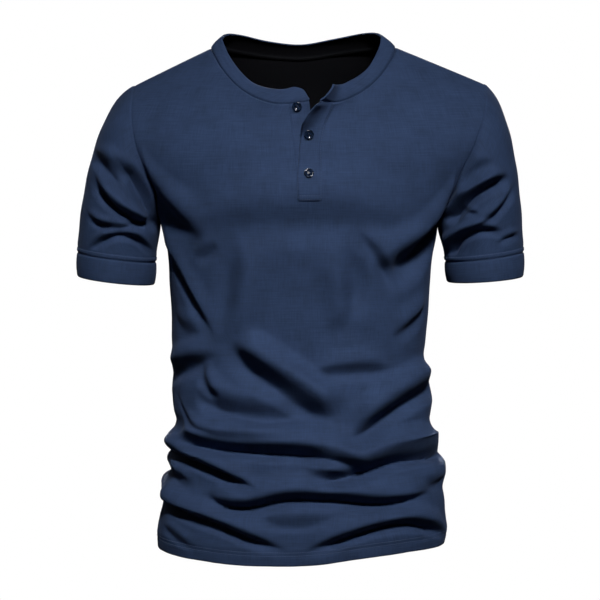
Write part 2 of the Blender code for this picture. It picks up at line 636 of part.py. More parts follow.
def button(name, place, facing, home, cutters):
    """A turned button with a raised rim and holes for its thread."""
    profile = (
        (0.0, 0.0), (0.80, 0.0), (1.0, 0.30), (1.0, 0.72), (0.90, 1.0), (0.72, 0.92), (0.60, 0.62), (0.0, 0.55),
    )
    form = bmesh.new()
    ring = [form.verts.new((r * BUTTON_RADIUS, 0.0, h * BUTTON_THICK)) for r, h in profile]
    edges = [form.edges.new(pair) for pair in zip(ring, ring[1:])]
    bmesh.ops.spin(form, geom=ring + edges, cent=(0, 0, 0), axis=(0, 0, 1), angle=2 * math.pi, steps=20,
                   use_merge=True)
    bmesh.ops.remove_doubles(form, verts=form.verts, dist=1e-6)
    bmesh.ops.recalc_face_normals(form, faces=form.faces)
    mesh = bpy.data.meshes.new(name)
    form.to_mesh(mesh)
    form.free()
    mesh.shade_smooth()
    mesh.set_sharp_from_angle(angle=math.radians(40))
    mesh.materials.append(material(name, BUTTON_FINISH))
    made = bpy.data.objects.new(name, mesh)
    home.objects.link(made)
    turn = Vector(facing).to_track_quat("Z", "Y")
    made.rotation_mode = "QUATERNION"
    made.rotation_quaternion = turn
    made.location = Vector(place)
    for k in range(HOLE_COUNT):
        around = 2 * math.pi * (k + 0.5) / HOLE_COUNT
        spot = Vector((HOLE_SPACING * math.cos(around), HOLE_SPACING * math.sin(around), 0.0))
        drill = drilled(f"{name}_hole_{k + 1}", cutters)
        drill.rotation_mode = "QUATERNION"
        drill.rotation_quaternion = turn
        drill.location = Vector(place) + turn @ spot
        cut = made.modifiers.new(f"hole_{k + 1}", "BOOLEAN")
        cut.operation = "DIFFERENCE"
        cut.object = drill
    return made


def drilled(name, cutters):
    """A cutter for one thread hole."""
    form = bmesh.new()
    bmesh.ops.create_cone(form, cap_ends=True, segments=8, radius1=HOLE_RADIUS, radius2=HOLE_RADIUS,
                          depth=4 * BUTTON_THICK)
    mesh = bpy.data.meshes.new(name)
    form.to_mesh(mesh)
    form.free()
    made = bpy.data.objects.new(name, mesh)
    made.hide_render = True
    made.display_type = "WIRE"
    cutters.objects.link(made)
    return made


def seat(grid, square, x, z):
    """Where a button rests on a piece's outer side at a point of the front view, and the way it faces."""
    flat = grid.reshape(-1, 3)
    near = np.argsort((flat[:, 0] - x) ** 2 + (flat[:, 2] - z) ** 2)[:6]
    facing = unit(square.reshape(-1, 3)[near].mean(axis=0))
    middle = flat[near].mean(axis=0)
    y = middle[1] - ((x - middle[0]) * facing[0] + (z - middle[2]) * facing[2]) / facing[1]
    place = np.array([x, y, z])
    under = flat[np.linalg.norm(flat - place, axis=1) < 1.7 * BUTTON_RADIUS]
    raised = max(0.0, float(((under - place) @ facing).max(initial=0.0)))
    return place + facing * (raised + BUTTON_SEAT), facing


def cloth_pieces():
    """Every piece of cloth, with the directions that neighbours share at their seams."""
    front_points = folded(hung(front_grid(), FRONT), FRONT_FOLDS, FRONT)
    back_points = folded(hung(back_grid(), BACK), BACK_FOLDS, BACK)
    sides = (front_points[:ROWS_UNDER_ARM + 1, ::front_points.shape[1] - 1],
             back_points[:ROWS_UNDER_ARM + 1, ::1 - back_points.shape[1]])
    middle = (sides[0] + sides[1]) / 2
    front_points[:ROWS_UNDER_ARM + 1, ::front_points.shape[1] - 1] = middle
    back_points[:ROWS_UNDER_ARM + 1, ::1 - back_points.shape[1]] = middle

    front = Piece("front", front_points, 1.0, JERSEY, JERSEY_FINISH)
    back = Piece("back", back_points, 1.0, JERSEY, JERSEY_FINISH)
    for panel in (front, back):
        panel.thick[:3] = DOUBLED
    pieces = {"front": front, "back": back}

    arm = slice(ROWS_UNDER_ARM, None)
    loops = {
        "left": np.concatenate([front_points[arm, 0], back_points[arm, -1][::-1][1:]]),
        "right": np.concatenate([front_points[arm, -1], back_points[arm, 0][::-1][1:]]),
    }
    ends = {
        "left": (LEAVE_LEFT, CUFF_SEAM_LEFT, CUFF_EDGE_LEFT, -1.0),
        "right": (LEAVE_RIGHT, CUFF_SEAM_RIGHT, CUFF_EDGE_RIGHT, 1.0),
    }
    for half, (leaving, seam, free, sign) in ends.items():
        turns = ring_turns(loops[half])
        grid = sleeve_grid(loops[half], seam, leaving, sign)
        sleeve = Piece(f"sleeve_{half}", grid, -sign, JERSEY, JERSEY_FINISH, True)
        cuff = Piece(f"cuff_{half}", cuff_grid(seam, free, turns), -sign, DOUBLED, BAND_FINISH, True)
        pieces[sleeve.name] = sleeve
        pieces[cuff.name] = cuff

    band = Piece("neckband", band_grid(), -1.0, DOUBLED, BAND_FINISH, gap=BAND_GAP)
    under = Piece("placket_under", under_placket_grid(front_points), 1.0, JERSEY, BAND_FINISH)
    top = Piece("placket_top", top_placket_grid(front_points), 1.0, JERSEY, BAND_FINISH)
    top.grid = top.grid + top.square * JERSEY
    for piece in (band, under, top):
        pieces[piece.name] = piece
    join_directions(pieces)
    return pieces


def join_directions(pieces):
    """Share the directions along every seam; three times, so that corners of three pieces agree."""
    front, back, band = pieces["front"], pieces["back"], pieces["neckband"]
    low = slice(0, ROWS_UNDER_ARM + 1)
    arm = slice(ROWS_UNDER_ARM, None)
    tip = STRIPS_SHOULDER + 1
    ends = 3
    body = ends + STRIPS_NECK + 1
    for _ in range(3):
        share_edges(edge(front, low, 0), edge(back, low, -1))
        share_edges(edge(front, low, -1), edge(back, low, 0))
        share_edges(edge(front, -1, slice(0, tip)), edge(back, -1, slice(-1, -tip - 1, -1)))
        share_edges(edge(front, -1, slice(-1, -tip - 1, -1)), edge(back, -1, slice(0, tip)))
        for half, here, there in (("left", 0, -1), ("right", -1, 0)):
            sleeve = pieces[f"sleeve_{half}"]
            count = ROWS_TO_SLIT + ROWS_TO_SHOULDER
            share_edges(edge(front, arm, here), edge(sleeve, 0, slice(0, count + 1)))
            share_edges(edge(back, arm, there), edge(sleeve, 0, slice(-1, -count - 2, -1)))
        share_edges(edge(band, 0, slice(body - 1, ends - 1, -1)),
                    edge(front, -1, slice(STRIPS_SHOULDER, STRIPS_SHOULDER + STRIPS_NECK + 1)))
        share_edges(edge(band, 0, slice(-ends - 1, -body - 1, -1)),
                    edge(front, -1, slice(-STRIPS_SHOULDER - STRIPS_NECK - 1, front.grid.shape[1] - STRIPS_SHOULDER)))
        share_edges(edge(band, 0, slice(ends, None, -1)), edge(pieces["placket_under"], -1, slice(None)))
        share_edges(edge(band, 0, slice(body - 1, body + STRIPS_NECK_BACK)),
                    edge(back, -1, slice(-STRIPS_SHOULDER - 1, STRIPS_SHOULDER - 1, -1)))


def build():
    """Make the whole shirt."""
    for old in list(bpy.data.objects):
        bpy.data.objects.remove(old, do_unlink=True)
    home = collection(SHIRT)
    cutters = collection("cutters")
    pieces = cloth_pieces()
    slit_row = ROWS_UNDER_ARM + ROWS_TO_SLIT
    slit_column = STRIPS_SHOULDER + STRIPS_NECK

    def slit(row, strip):
        return row >= slit_row and slit_column <= strip < slit_column + STRIPS_SLIT

    for name, piece in pieces.items():
        wall_of(piece, home, slit if name == "front" else None)
    for number, spec in enumerate(BUTTONS, start=1):
        piece = pieces[spec.on]
        place, facing = seat(piece.grid, piece.square, spec.x, spec.z)
        button(f"button_{number}", place, facing, home, cutters)


build()
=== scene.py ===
"""Looks of a short-sleeved henley shirt of cotton jersey, worn form: cloth, sewing, buttons and stage.

Metres, +Z up. The front faces -Y, and the origin lies in the middle of the neck. "Left" is the left of the picture.
A point of the body is named by its turn, in degrees from the middle of the front (90 at the right side seam,
180 at the middle of the back, -90 at the left side seam), and by its height z.
"""

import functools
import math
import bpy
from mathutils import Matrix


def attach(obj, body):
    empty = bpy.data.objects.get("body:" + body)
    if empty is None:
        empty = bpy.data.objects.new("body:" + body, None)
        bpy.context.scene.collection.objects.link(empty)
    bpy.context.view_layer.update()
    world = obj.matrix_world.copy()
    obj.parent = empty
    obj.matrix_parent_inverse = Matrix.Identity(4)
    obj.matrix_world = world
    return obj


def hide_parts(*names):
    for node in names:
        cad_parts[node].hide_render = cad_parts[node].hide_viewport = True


bl_info = {
    "name": "Henley shirt",
    "version": (1, 0, 0),
    "blender": (4, 5, 0),
    "location": "View3D > Sidebar > Shirt",
    "description": "Builds a worn henley shirt: jersey panels, sleeves, cuffs, neckband, placket, buttons and sewing",
    "category": "Object",
}

from collections import namedtuple

import bmesh
import bpy
import numpy as np
from mathutils import Vector

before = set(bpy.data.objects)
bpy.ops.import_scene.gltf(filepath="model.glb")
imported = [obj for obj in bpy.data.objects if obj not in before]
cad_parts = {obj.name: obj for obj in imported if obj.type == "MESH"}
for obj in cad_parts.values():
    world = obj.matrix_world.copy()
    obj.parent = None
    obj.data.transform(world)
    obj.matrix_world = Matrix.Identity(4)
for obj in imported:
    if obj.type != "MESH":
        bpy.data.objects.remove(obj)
BODY = "root"

# Heights of the cut
HEM_Z = -0.630
ARMPIT_Z = -0.222
SLIT_Z = -0.186
NECK_FRONT_Z = -0.077
BUNCHED_TOP_Z = -0.385

# Grids: strips of each stretch, how many columns each strip has, and rows of each stretch and piece
STRIPS_SHOULDER = 7
STRIPS_NECK = 8
STRIPS_NECK_BACK = 5
COLUMNS = 5
ROWS_BUNCHED = 118
ROWS_DRAPED = 52
ROWS_TO_SLIT = 15
ROWS_TO_SHOULDER = 72
ROWS_SLEEVE = 78
ROWS_CUFF = 26
ROWS_BAND = 18
COLUMNS_SLIT = 10
COLUMNS_PLACKET = 26
ROWS_PLACKET = 84

# Where the closer rows and columns near a piece's edges lie, as shares of its length
NEAR_SLEEVE_ENDS = (0.004, 0.010, 0.018, 0.028, 0.036, 0.044)
NEAR_CUFF_ENDS = (0.012, 0.028, 0.05)
NEAR_BAND_EDGES = (0.015, 0.035, 0.06)
NEAR_PLACKET_SIDES = (0.015, 0.03)
NEAR_PLACKET_ENDS = (0.003, 0.006)

# Form of the sections: how square they are under and above the armpits, at what share of the way up from the armpit
# they have changed, how round the shoulders fall, and the radius that turns the body's angles into lengths
SQUARENESS = 2.35
YOKE_SQUARENESS = 1.15
YOKE_FROM = 0.35
SHOULDER_ROUND = 2.6
BODY_RADIUS = 0.165

# Creases: the share of its width that one keeps at its ends, and how they die away towards a panel's sides, and
# towards its seams at the neck and shoulders
CREASE_END = 0.45
SIDE_CALM = 0.55
SIDE_REACH = 0.030
TOP_REACH = 0.030

# Seams: the share of the usual dip that the armholes and side seams have, how far the hem is drawn in, and how far
# a seam's allowance reaches behind the neighbour, how deep it lies and how thick it is
ARMHOLE_DIP = 0.55
HEM_TUCK = 0.0030
HEM_ROW_DROP = 0.0008
ALLOWANCE = 0.0025
ALLOWANCE_DEPTH = 0.0014
ALLOWANCE_THICK = 0.0008
BAND_ALLOWANCE = 0.11
BAND_ALLOWANCE_DEPTH = 0.0012

# Upper placket: how far its open corner turns out, how fast that falls away across it, how far it stands off the
# front, and where its lines of stitches run, from its left, right and lower edges
FLAP_TURN = 0.0145
FLAP_FALL = 2.0
PLACKET_STANDS_OFF = 0.0008
PLACKET_STITCHED_LEFT = 0.0013
PLACKET_STITCHED_RIGHT = 0.0016
PLACKET_STITCHED_FOOT = (0.0014, 0.0066)

# Sections of the body, hem to neck: half widths to each side, how far the front and the back stand from the middle
Section = namedtuple("Section", "z left right front back")
SECTIONS = (
    Section(-0.630, 0.1825, 0.1845, 0.117, 0.104),
    Section(-0.613, 0.1810, 0.1845, 0.118, 0.105),
    Section(-0.590, 0.1780, 0.1820, 0.118, 0.105),
    Section(-0.567, 0.1730, 0.1805, 0.118, 0.104),
    Section(-0.552, 0.1745, 0.1780, 0.118, 0.103),
    Section(-0.532, 0.1630, 0.1815, 0.117, 0.102),
    Section(-0.512, 0.1700, 0.1775, 0.116, 0.101),
    Section(-0.498, 0.1670, 0.1700, 0.115, 0.099),
    Section(-0.484, 0.1610, 0.1610, 0.113, 0.097),
    Section(-0.468, 0.1560, 0.1610, 0.111, 0.095),
    Section(-0.453, 0.1595, 0.1630, 0.109, 0.093),
    Section(-0.437, 0.1620, 0.1645, 0.108, 0.091),
    Section(-0.422, 0.1630, 0.1620, 0.107, 0.090),
    Section(-0.394, 0.1590, 0.1530, 0.106, 0.088),
    Section(-0.369, 0.1615, 0.1553, 0.107, 0.088),
    Section(-0.331, 0.1613, 0.1588, 0.110, 0.090),
    Section(-0.294, 0.1636, 0.1611, 0.114, 0.094),
    Section(-0.256, 0.1662, 0.1646, 0.119, 0.099),
    Section(-0.222, 0.1740, 0.1745, 0.121, 0.103),
    Section(-0.186, 0.1800, 0.1800, 0.122, 0.106),
    Section(-0.150, 0.1870, 0.1900, 0.117, 0.107),
    Section(-0.118, 0.1980, 0.2040, 0.108, 0.104),
    Section(-0.077, 0.2060, 0.2180, 0.091, 0.095),
    Section(-0.040, 0.2066, 0.2276, 0.078, 0.083),
    Section(0.000, 0.2066, 0.2276, 0.064, 0.066),
)

# Armholes, armpit to shoulder tip: rise from 0 to 1, how far out each side lies, and the front and back edges
Armhole = namedtuple("Armhole", "rise left right front back")
ARMHOLE = (
    Armhole(0.00, 0.1740, 0.1745, 0.000, 0.000),
    Armhole(0.06, 0.1760, 0.1765, 0.022, 0.024),
    Armhole(0.15, 0.1780, 0.1800, 0.041, 0.044),
    Armhole(0.26, 0.1805, 0.1835, 0.053, 0.058),
    Armhole(0.41, 0.1865, 0.1910, 0.061, 0.069),
    Armhole(0.55, 0.1955, 0.2010, 0.061, 0.072),
    Armhole(0.73, 0.2035, 0.2110, 0.050, 0.064),
    Armhole(0.88, 0.2070, 0.2210, 0.030, 0.041),
    Armhole(1.00, 0.2066, 0.2276, -0.003, 0.003),
)
TIP_LEFT = (-0.2070, 0.003, -0.0525)
TIP_RIGHT = (0.2276, 0.003, -0.0505)

# Neck, from each neck point: share of the way, the seam on the body, and the band's top edge
Neck = namedtuple("Neck", "along x y z top_x top_y top_z")
NECK_LEFT = (
    Neck(0.00, -0.1120, -0.004, -0.0078, -0.0980, -0.0020, 0.0072),
    Neck(0.12, -0.1065, -0.018, -0.0165, -0.0930, -0.0130, -0.0055),
    Neck(0.25, -0.1000, -0.032, -0.0285, -0.0850, -0.0270, -0.0205),
    Neck(0.38, -0.0900, -0.048, -0.0415, -0.0720, -0.0470, -0.0375),
    Neck(0.50, -0.0770, -0.062, -0.0550, -0.0578, -0.0610, -0.0503),
    Neck(0.62, -0.0575, -0.076, -0.0680, -0.0400, -0.0720, -0.0570),
    Neck(0.74, -0.0350, -0.087, -0.0758, -0.0225, -0.0790, -0.0588),
    Neck(0.86, -0.0150, -0.091, -0.0768, -0.0060, -0.0830, -0.0565),
    Neck(0.94, 0.0020, -0.092, -0.0752, 0.0045, -0.0850, -0.0610),
    Neck(1.00, 0.0095, -0.092, -0.0738, 0.0092, -0.0875, -0.0700),
)
NECK_RIGHT = (
    Neck(0.00, 0.1172, -0.004, -0.0065, 0.0994, -0.0020, 0.0085),
    Neck(0.12, 0.1122, -0.018, -0.0188, 0.0962, -0.0130, -0.0048),
    Neck(0.25, 0.1045, -0.032, -0.0315, 0.0895, -0.0280, -0.0190),
    Neck(0.38, 0.0950, -0.047, -0.0435, 0.0800, -0.0450, -0.0330),
    Neck(0.50, 0.0830, -0.060, -0.0550, 0.0687, -0.0560, -0.0424),
    Neck(0.62, 0.0680, -0.073, -0.0650, 0.0590, -0.0645, -0.0480),
    Neck(0.74, 0.0530, -0.082, -0.0720, 0.0520, -0.0710, -0.0518),
    Neck(0.86, 0.0400, -0.091, -0.0755, 0.0460, -0.0790, -0.0538),
    Neck(1.00, 0.0260, -0.109, -0.0727, 0.0398, -0.0985, -0.0550),
)
NECK_BACK = (
    Neck(0.00, 0.1172, -0.004, -0.0065, 0.0994, -0.0020, 0.0085),
    Neck(0.10, 0.1115, 0.018, -0.0030, 0.0950, 0.0150, 0.0132),
    Neck(0.25, 0.0870, 0.044, -0.0050, 0.0760, 0.0350, 0.0138),
    Neck(0.38, 0.0460, 0.064, -0.0100, 0.0400, 0.0530, 0.0078),
    Neck(0.50, 0.0000, 0.071, -0.0160, 0.0000, 0.0610, 0.0015),
    Neck(0.62, -0.0460, 0.064, -0.0130, -0.0400, 0.0530, 0.0050),
    Neck(0.75, -0.0860, 0.044, -0.0070, -0.0740, 0.0350, 0.0118),
    Neck(0.90, -0.1075, 0.018, -0.0045, -0.0935, 0.0150, 0.0122),
    Neck(1.00, -0.1120, -0.004, -0.0078, -0.0980, -0.0020, 0.0072),
)
BODY_SHARE = 0.86

# Edges of the slit in the front, the lower placket's free edge, and the upper placket with its open corner
Slit = namedtuple("Slit", "z left right")
SLIT = (
    Slit(-0.222, -0.005, 0.022),
    Slit(-0.186, -0.005, 0.022),
    Slit(-0.140, -0.008, 0.022),
    Slit(-0.110, -0.011, 0.023),
    Slit(-0.095, -0.013, 0.028),
    Slit(-0.077, -0.015, 0.040),
)
Edge = namedtuple("Edge", "z x")
UNDER_EDGE = (
    Edge(-0.1855, 0.0212),
    Edge(-0.155, 0.0212),
    Edge(-0.135, 0.0203),
    Edge(-0.112, 0.017),
    Edge(-0.095, 0.0125),
    Edge(-0.077, 0.0100),
)
Flap = namedtuple("Flap", "along left_x left_z left_lift right_x right_z right_lift")
FLAP = (
    Flap(0.00, -0.0048, -0.1916, 0.0, 0.0250, -0.1916, 0.0),
    Flap(0.35, -0.0046, -0.1500, 0.0, 0.0250, -0.1500, 0.0),
    Flap(0.60, -0.0015, -0.1200, 0.0012, 0.0255, -0.1200, 0.0),
    Flap(0.76, 0.0030, -0.1010, 0.0050, 0.0290, -0.1030, 0.0004),
    Flap(0.88, 0.0120, -0.0870, 0.0105, 0.0350, -0.0890, 0.0010),
    Flap(1.00, 0.0250, -0.0732, 0.0150, 0.0400, -0.0760, 0.0016),
)

# How much higher the hem hangs, by the turn from the middle of the front
Hang = namedtuple("Hang", "turn lift")
HEM_HANG = (
    Hang(-90, 0.0015),
    Hang(-60, 0.0020),
    Hang(-25, -0.0008),
    Hang(5, 0.0),
    Hang(24, 0.0065),
    Hang(46, 0.0105),
    Hang(62, 0.0100),
    Hang(90, 0.0050),
    Hang(150, 0.0),
    Hang(270, 0.0015),
)
HEM_HANG_REACH = 0.10

# Creases of the body. Each runs along its line of (turn, z); on its left, seen along the line, the cloth stands up
# to a crest, on its right it drops into a hollow, and between them lies a steep step of twice the half width.
Crease = namedtuple("Crease", "line crest hollow half above below sharp fade_in fade_out")
BUNCHED = (
    Crease(((-72, -0.484), (-60, -0.481), (-40, -0.4815), (-15, -0.4845), (6, -0.489), (20, -0.497), (28, -0.508)),
           0.0150, 0.0150, 0.0090, 0.036, 0.022, 0.7, 0.22, 0.14),
    Crease(((0, -0.514), (10, -0.5155), (21, -0.510), (30, -0.503), (40, -0.497), (60, -0.494), (84, -0.498),
            (112, -0.506)), 0.0165, 0.0165, 0.0112, 0.034, 0.024, 0.7, 0.12, 0.30),
    Crease(((-118, -0.494), (-92, -0.499), (-62, -0.500), (-40, -0.511), (-16, -0.536)),
           0.0115, 0.0120, 0.0062, 0.024, 0.020, 0.9, 0.28, 0.16),
    Crease(((-44, -0.541), (-32, -0.553), (-22, -0.553), (-8, -0.543), (12, -0.543), (34, -0.550), (66, -0.546)),
           0.0130, 0.0125, 0.0080, 0.032, 0.022, 0.8, 0.16, 0.32),
    Crease(((-84, -0.556), (-58, -0.567), (-36, -0.577), (-18, -0.594), (-4, -0.610)),
           0.0110, 0.0110, 0.0062, 0.026, 0.018, 0.9, 0.22, 0.24),
    Crease(((0, -0.611), (15, -0.593), (30, -0.581), (46, -0.578), (62, -0.589), (80, -0.606)),
           0.0105, 0.0105, 0.0068, 0.026, 0.018, 0.8, 0.20, 0.28),
    Crease(((-32, -0.360), (-22, -0.379), (-11, -0.400), (-1, -0.419), (15, -0.452)),
           0.0175, 0.0120, 0.0150, 0.038, 0.036, 0.4, 0.24, 0.20),
    Crease(((-54, -0.421), (-42, -0.430), (-30, -0.437), (-18, -0.441), (-4, -0.441), (8, -0.445)),
           0.0020, 0.0130, 0.0150, 0.026, 0.024, 0.4, 0.24, 0.34),
    Crease(((-100, -0.412), (-74, -0.396), (-56, -0.384), (-36, -0.372)),
           0.0070, 0.0075, 0.0100, 0.030, 0.028, 0.4, 0.32, 0.30),
    Crease(((-50, -0.388), (-45, -0.408), (-36, -0.428)), 0.0040, 0.0050, 0.0070, 0.022, 0.020, 0.3, 0.4, 0.3),
    Crease(((20, -0.474), (30, -0.456), (42, -0.436), (62, -0.420), (98, -0.414)),
           0.0130, 0.0140, 0.0130, 0.036, 0.032, 0.6, 0.16, 0.30),
    Crease(((2, -0.398), (16, -0.392), (36, -0.391), (48, -0.394)),
           0.0050, 0.0055, 0.0085, 0.028, 0.022, 0.3, 0.35, 0.35),
    Crease(((-72, -0.420), (-62, -0.450), (-46, -0.466), (-24, -0.470), (4, -0.470)),
           0.0014, 0.0050, 0.0056, 0.012, 0.014, 0.3, 0.3, 0.4),
    Crease(((-78, -0.522), (-64, -0.531), (-50, -0.536)), 0.0030, 0.0034, 0.0080, 0.018, 0.016, 0.3, 0.4, 0.4),
    Crease(((-20, -0.570), (-2, -0.574), (14, -0.568)), 0.0022, 0.0034, 0.0090, 0.020, 0.018, 0.2, 0.4, 0.4),
    Crease(((52, -0.528), (68, -0.536), (84, -0.530)), 0.0026, 0.0032, 0.0080, 0.020, 0.018, 0.2, 0.4, 0.4),
    Crease(((-74, -0.590), (-60, -0.600), (-44, -0.612)), 0.0026, 0.0030, 0.0060, 0.016, 0.014, 0.3, 0.4, 0.3),
)
DRAPED = (
    Crease(((-94, -0.150), (-76, -0.180), (-58, -0.208), (-42, -0.236), (-34, -0.252)),
           0.0085, 0.0105, 0.0190, 0.044, 0.048, 0.3, 0.14, 0.55),
    Crease(((-52, -0.262), (-44, -0.252), (-36, -0.240)), 0.0024, 0.0040, 0.0070, 0.020, 0.020, 0.2, 0.4, 0.4),
    Crease(((-88, -0.236), (-70, -0.262), (-57, -0.294), (-45, -0.336), (-38, -0.362)),
           0.0052, 0.0064, 0.0062, 0.028, 0.024, 0.5, 0.28, 0.34),
    Crease(((28, -0.274), (38, -0.264), (57, -0.246), (76, -0.212), (94, -0.178)),
           0.0090, 0.0170, 0.0200, 0.044, 0.050, 0.3, 0.34, 0.12),
    Crease(((22, -0.224), (31, -0.244), (38, -0.266), (46, -0.302)),
           0.0046, 0.0052, 0.0052, 0.026, 0.022, 0.5, 0.35, 0.34),
    Crease(((42, -0.356), (56, -0.340), (76, -0.316)), 0.0042, 0.0048, 0.0090, 0.030, 0.026, 0.2, 0.4, 0.35),
    Crease(((-54, -0.232), (-28, -0.211), (0, -0.202), (24, -0.204), (50, -0.228)),
           0.0045, 0.0045, 0.0200, 0.060, 0.052, 0.0, 0.34, 0.34),
    Crease(((-25, -0.226), (-27, -0.270), (-32, -0.330), (-40, -0.364)),
           0.0062, 0.0056, 0.0150, 0.044, 0.036, 0.0, 0.40, 0.40),
    Crease(((19, -0.352), (20, -0.290), (15, -0.232)), 0.0070, 0.0070, 0.0140, 0.040, 0.036, 0.0, 0.45, 0.45),
    Crease(((6, -0.342), (20, -0.336), (36, -0.352)), 0.0014, 0.0016, 0.0120, 0.032, 0.028, 0.0, 0.45, 0.45),
    Crease(((-74, -0.334), (-62, -0.344), (-44, -0.346)), 0.0030, 0.0030, 0.0110, 0.030, 0.026, 0.0, 0.45, 0.45),
)
BEHIND = (
    Crease(((96, -0.470), (125, -0.486), (158, -0.497), (190, -0.500)),
           0.0120, 0.0100, 0.0080, 0.036, 0.022, 0.8, 0.30, 0.20),
    Crease(((176, -0.522), (204, -0.508), (236, -0.488), (262, -0.474)),
           0.0120, 0.0100, 0.0086, 0.036, 0.022, 0.8, 0.20, 0.30),
    Crease(((104, -0.536), (132, -0.548), (160, -0.544), (186, -0.552), (210, -0.560)),
           0.0105, 0.0085, 0.0068, 0.030, 0.020, 0.8, 0.25, 0.30),
    Crease(((196, -0.584), (222, -0.570), (252, -0.560), (278, -0.556)),
           0.0100, 0.0080, 0.0066, 0.028, 0.018, 0.8, 0.25, 0.30),
    Crease(((98, -0.596), (124, -0.588), (152, -0.594), (176, -0.607)),
           0.0090, 0.0070, 0.0060, 0.026, 0.016, 0.8, 0.25, 0.30),
    Crease(((112, -0.426), (140, -0.438), (172, -0.448), (200, -0.442)),
           0.0090, 0.0080, 0.0105, 0.036, 0.028, 0.5, 0.30, 0.30),
    Crease(((186, -0.424), (214, -0.404), (246, -0.390)), 0.0080, 0.0070, 0.0100, 0.036, 0.026, 0.5, 0.30, 0.30),
    Crease(((118, -0.378), (150, -0.390), (182, -0.388)), 0.0046, 0.0044, 0.0090, 0.030, 0.026, 0.3, 0.4, 0.4),
    Crease(((96, -0.176), (118, -0.206), (134, -0.240)), 0.0065, 0.0100, 0.0150, 0.038, 0.036, 0.3, 0.25, 0.45),
    Crease(((226, -0.244), (242, -0.208), (264, -0.178)), 0.0065, 0.0100, 0.0150, 0.038, 0.036, 0.3, 0.45, 0.25),
    Crease(((160, -0.350), (168, -0.290), (172, -0.230)), 0.0034, 0.0034, 0.014, 0.036, 0.034, 0.0, 0.5, 0.5),
    Crease(((192, -0.226), (198, -0.290), (204, -0.346)), 0.0034, 0.0034, 0.014, 0.036, 0.034, 0.0, 0.5, 0.5),
)
# Creases of the sleeves, drawn on the front view with lines of (x, z); the back of each sleeve has like ones
SLEEVES_FRONT = (
    Crease(((-0.226, -0.132), (-0.206, -0.152), (-0.189, -0.174), (-0.175, -0.202), (-0.166, -0.228)),
           0.0040, 0.0140, 0.0085, 0.014, 0.024, 0.4, 0.30, 0.12),
    Crease(((-0.252, -0.160), (-0.236, -0.184), (-0.212, -0.205), (-0.180, -0.222)),
           0.0085, 0.0110, 0.0058, 0.017, 0.016, 0.8, 0.28, 0.12),
    Crease(((-0.264, -0.206), (-0.246, -0.218), (-0.220, -0.222), (-0.192, -0.218)),
           0.0048, 0.0056, 0.0040, 0.012, 0.012, 0.7, 0.3, 0.3),
    Crease(((-0.264, -0.254), (-0.242, -0.238), (-0.220, -0.231), (-0.196, -0.239), (-0.180, -0.256)),
           0.0050, 0.0054, 0.0038, 0.012, 0.013, 0.8, 0.28, 0.25),
    Crease(((-0.256, -0.128), (-0.234, -0.148), (-0.208, -0.170)),
           0.0050, 0.0090, 0.0105, 0.024, 0.018, 0.2, 0.35, 0.25),
    Crease(((0.174, -0.216), (0.194, -0.192), (0.220, -0.173), (0.254, -0.159)),
           0.0095, 0.0130, 0.0080, 0.024, 0.019, 0.7, 0.12, 0.28),
    Crease(((0.208, -0.224), (0.232, -0.208), (0.248, -0.190), (0.260, -0.168)),
           0.0052, 0.0058, 0.0044, 0.014, 0.013, 0.7, 0.3, 0.28),
    Crease(((0.176, -0.264), (0.186, -0.242), (0.204, -0.228), (0.226, -0.224), (0.250, -0.229)),
           0.0072, 0.0086, 0.0056, 0.014, 0.015, 0.8, 0.18, 0.32),
    Crease(((0.180, -0.172), (0.204, -0.156), (0.232, -0.140)),
           0.0055, 0.0085, 0.0105, 0.024, 0.020, 0.2, 0.30, 0.35),
    Crease(((0.236, -0.244), (0.252, -0.236), (0.270, -0.232)), 0.0030, 0.0034, 0.0036, 0.010, 0.010, 0.5, 0.4, 0.35),
    Crease(((0.190, -0.206), (0.204, -0.205), (0.218, -0.208)), 0.0022, 0.0024, 0.0034, 0.009, 0.009, 0.5, 0.4, 0.4),
)
SLEEVES_BACK = (
    Crease(((-0.256, -0.172), (-0.230, -0.196), (-0.190, -0.214)),
           0.0066, 0.0070, 0.0054, 0.022, 0.016, 0.7, 0.30, 0.20),
    Crease(((-0.258, -0.236), (-0.226, -0.226), (-0.190, -0.244)),
           0.0044, 0.0046, 0.0040, 0.013, 0.012, 0.7, 0.35, 0.3),
    Crease(((-0.230, -0.130), (-0.204, -0.156), (-0.182, -0.192)),
           0.0030, 0.0070, 0.0072, 0.014, 0.018, 0.4, 0.35, 0.3),
    Crease(((0.184, -0.216), (0.220, -0.196), (0.258, -0.184)),
           0.0066, 0.0070, 0.0054, 0.022, 0.016, 0.7, 0.20, 0.30),
    Crease(((0.186, -0.250), (0.214, -0.232), (0.256, -0.236)),
           0.0044, 0.0046, 0.0040, 0.013, 0.012, 0.7, 0.3, 0.35),
    Crease(((0.182, -0.186), (0.206, -0.156), (0.236, -0.136)),
           0.0034, 0.0060, 0.0072, 0.016, 0.016, 0.4, 0.3, 0.35),
)

# Slight unevenness of the draped cloth: the height of each wave, and how its two sines run round the body, run up it
# and start
Wave = namedtuple("Wave", "height round up start round_too up_too start_too")
WAVES = (
    Wave(0.0009, 3, 31, 0.6, 2, -47, 0.0),
    Wave(0.0006, 7, -62, 1.9, 5, 23, 0.4),
    Wave(0.0003, 13, 96, 2.7, 11, -71, 0.0),
    Wave(0.00012, 31, -190, 0.5, 23, 260, 0.0),
)
SLEEVE_WAVE = 0.0006

# Which way a panel faces along y
FRONT = -1.0
BACK = 1.0

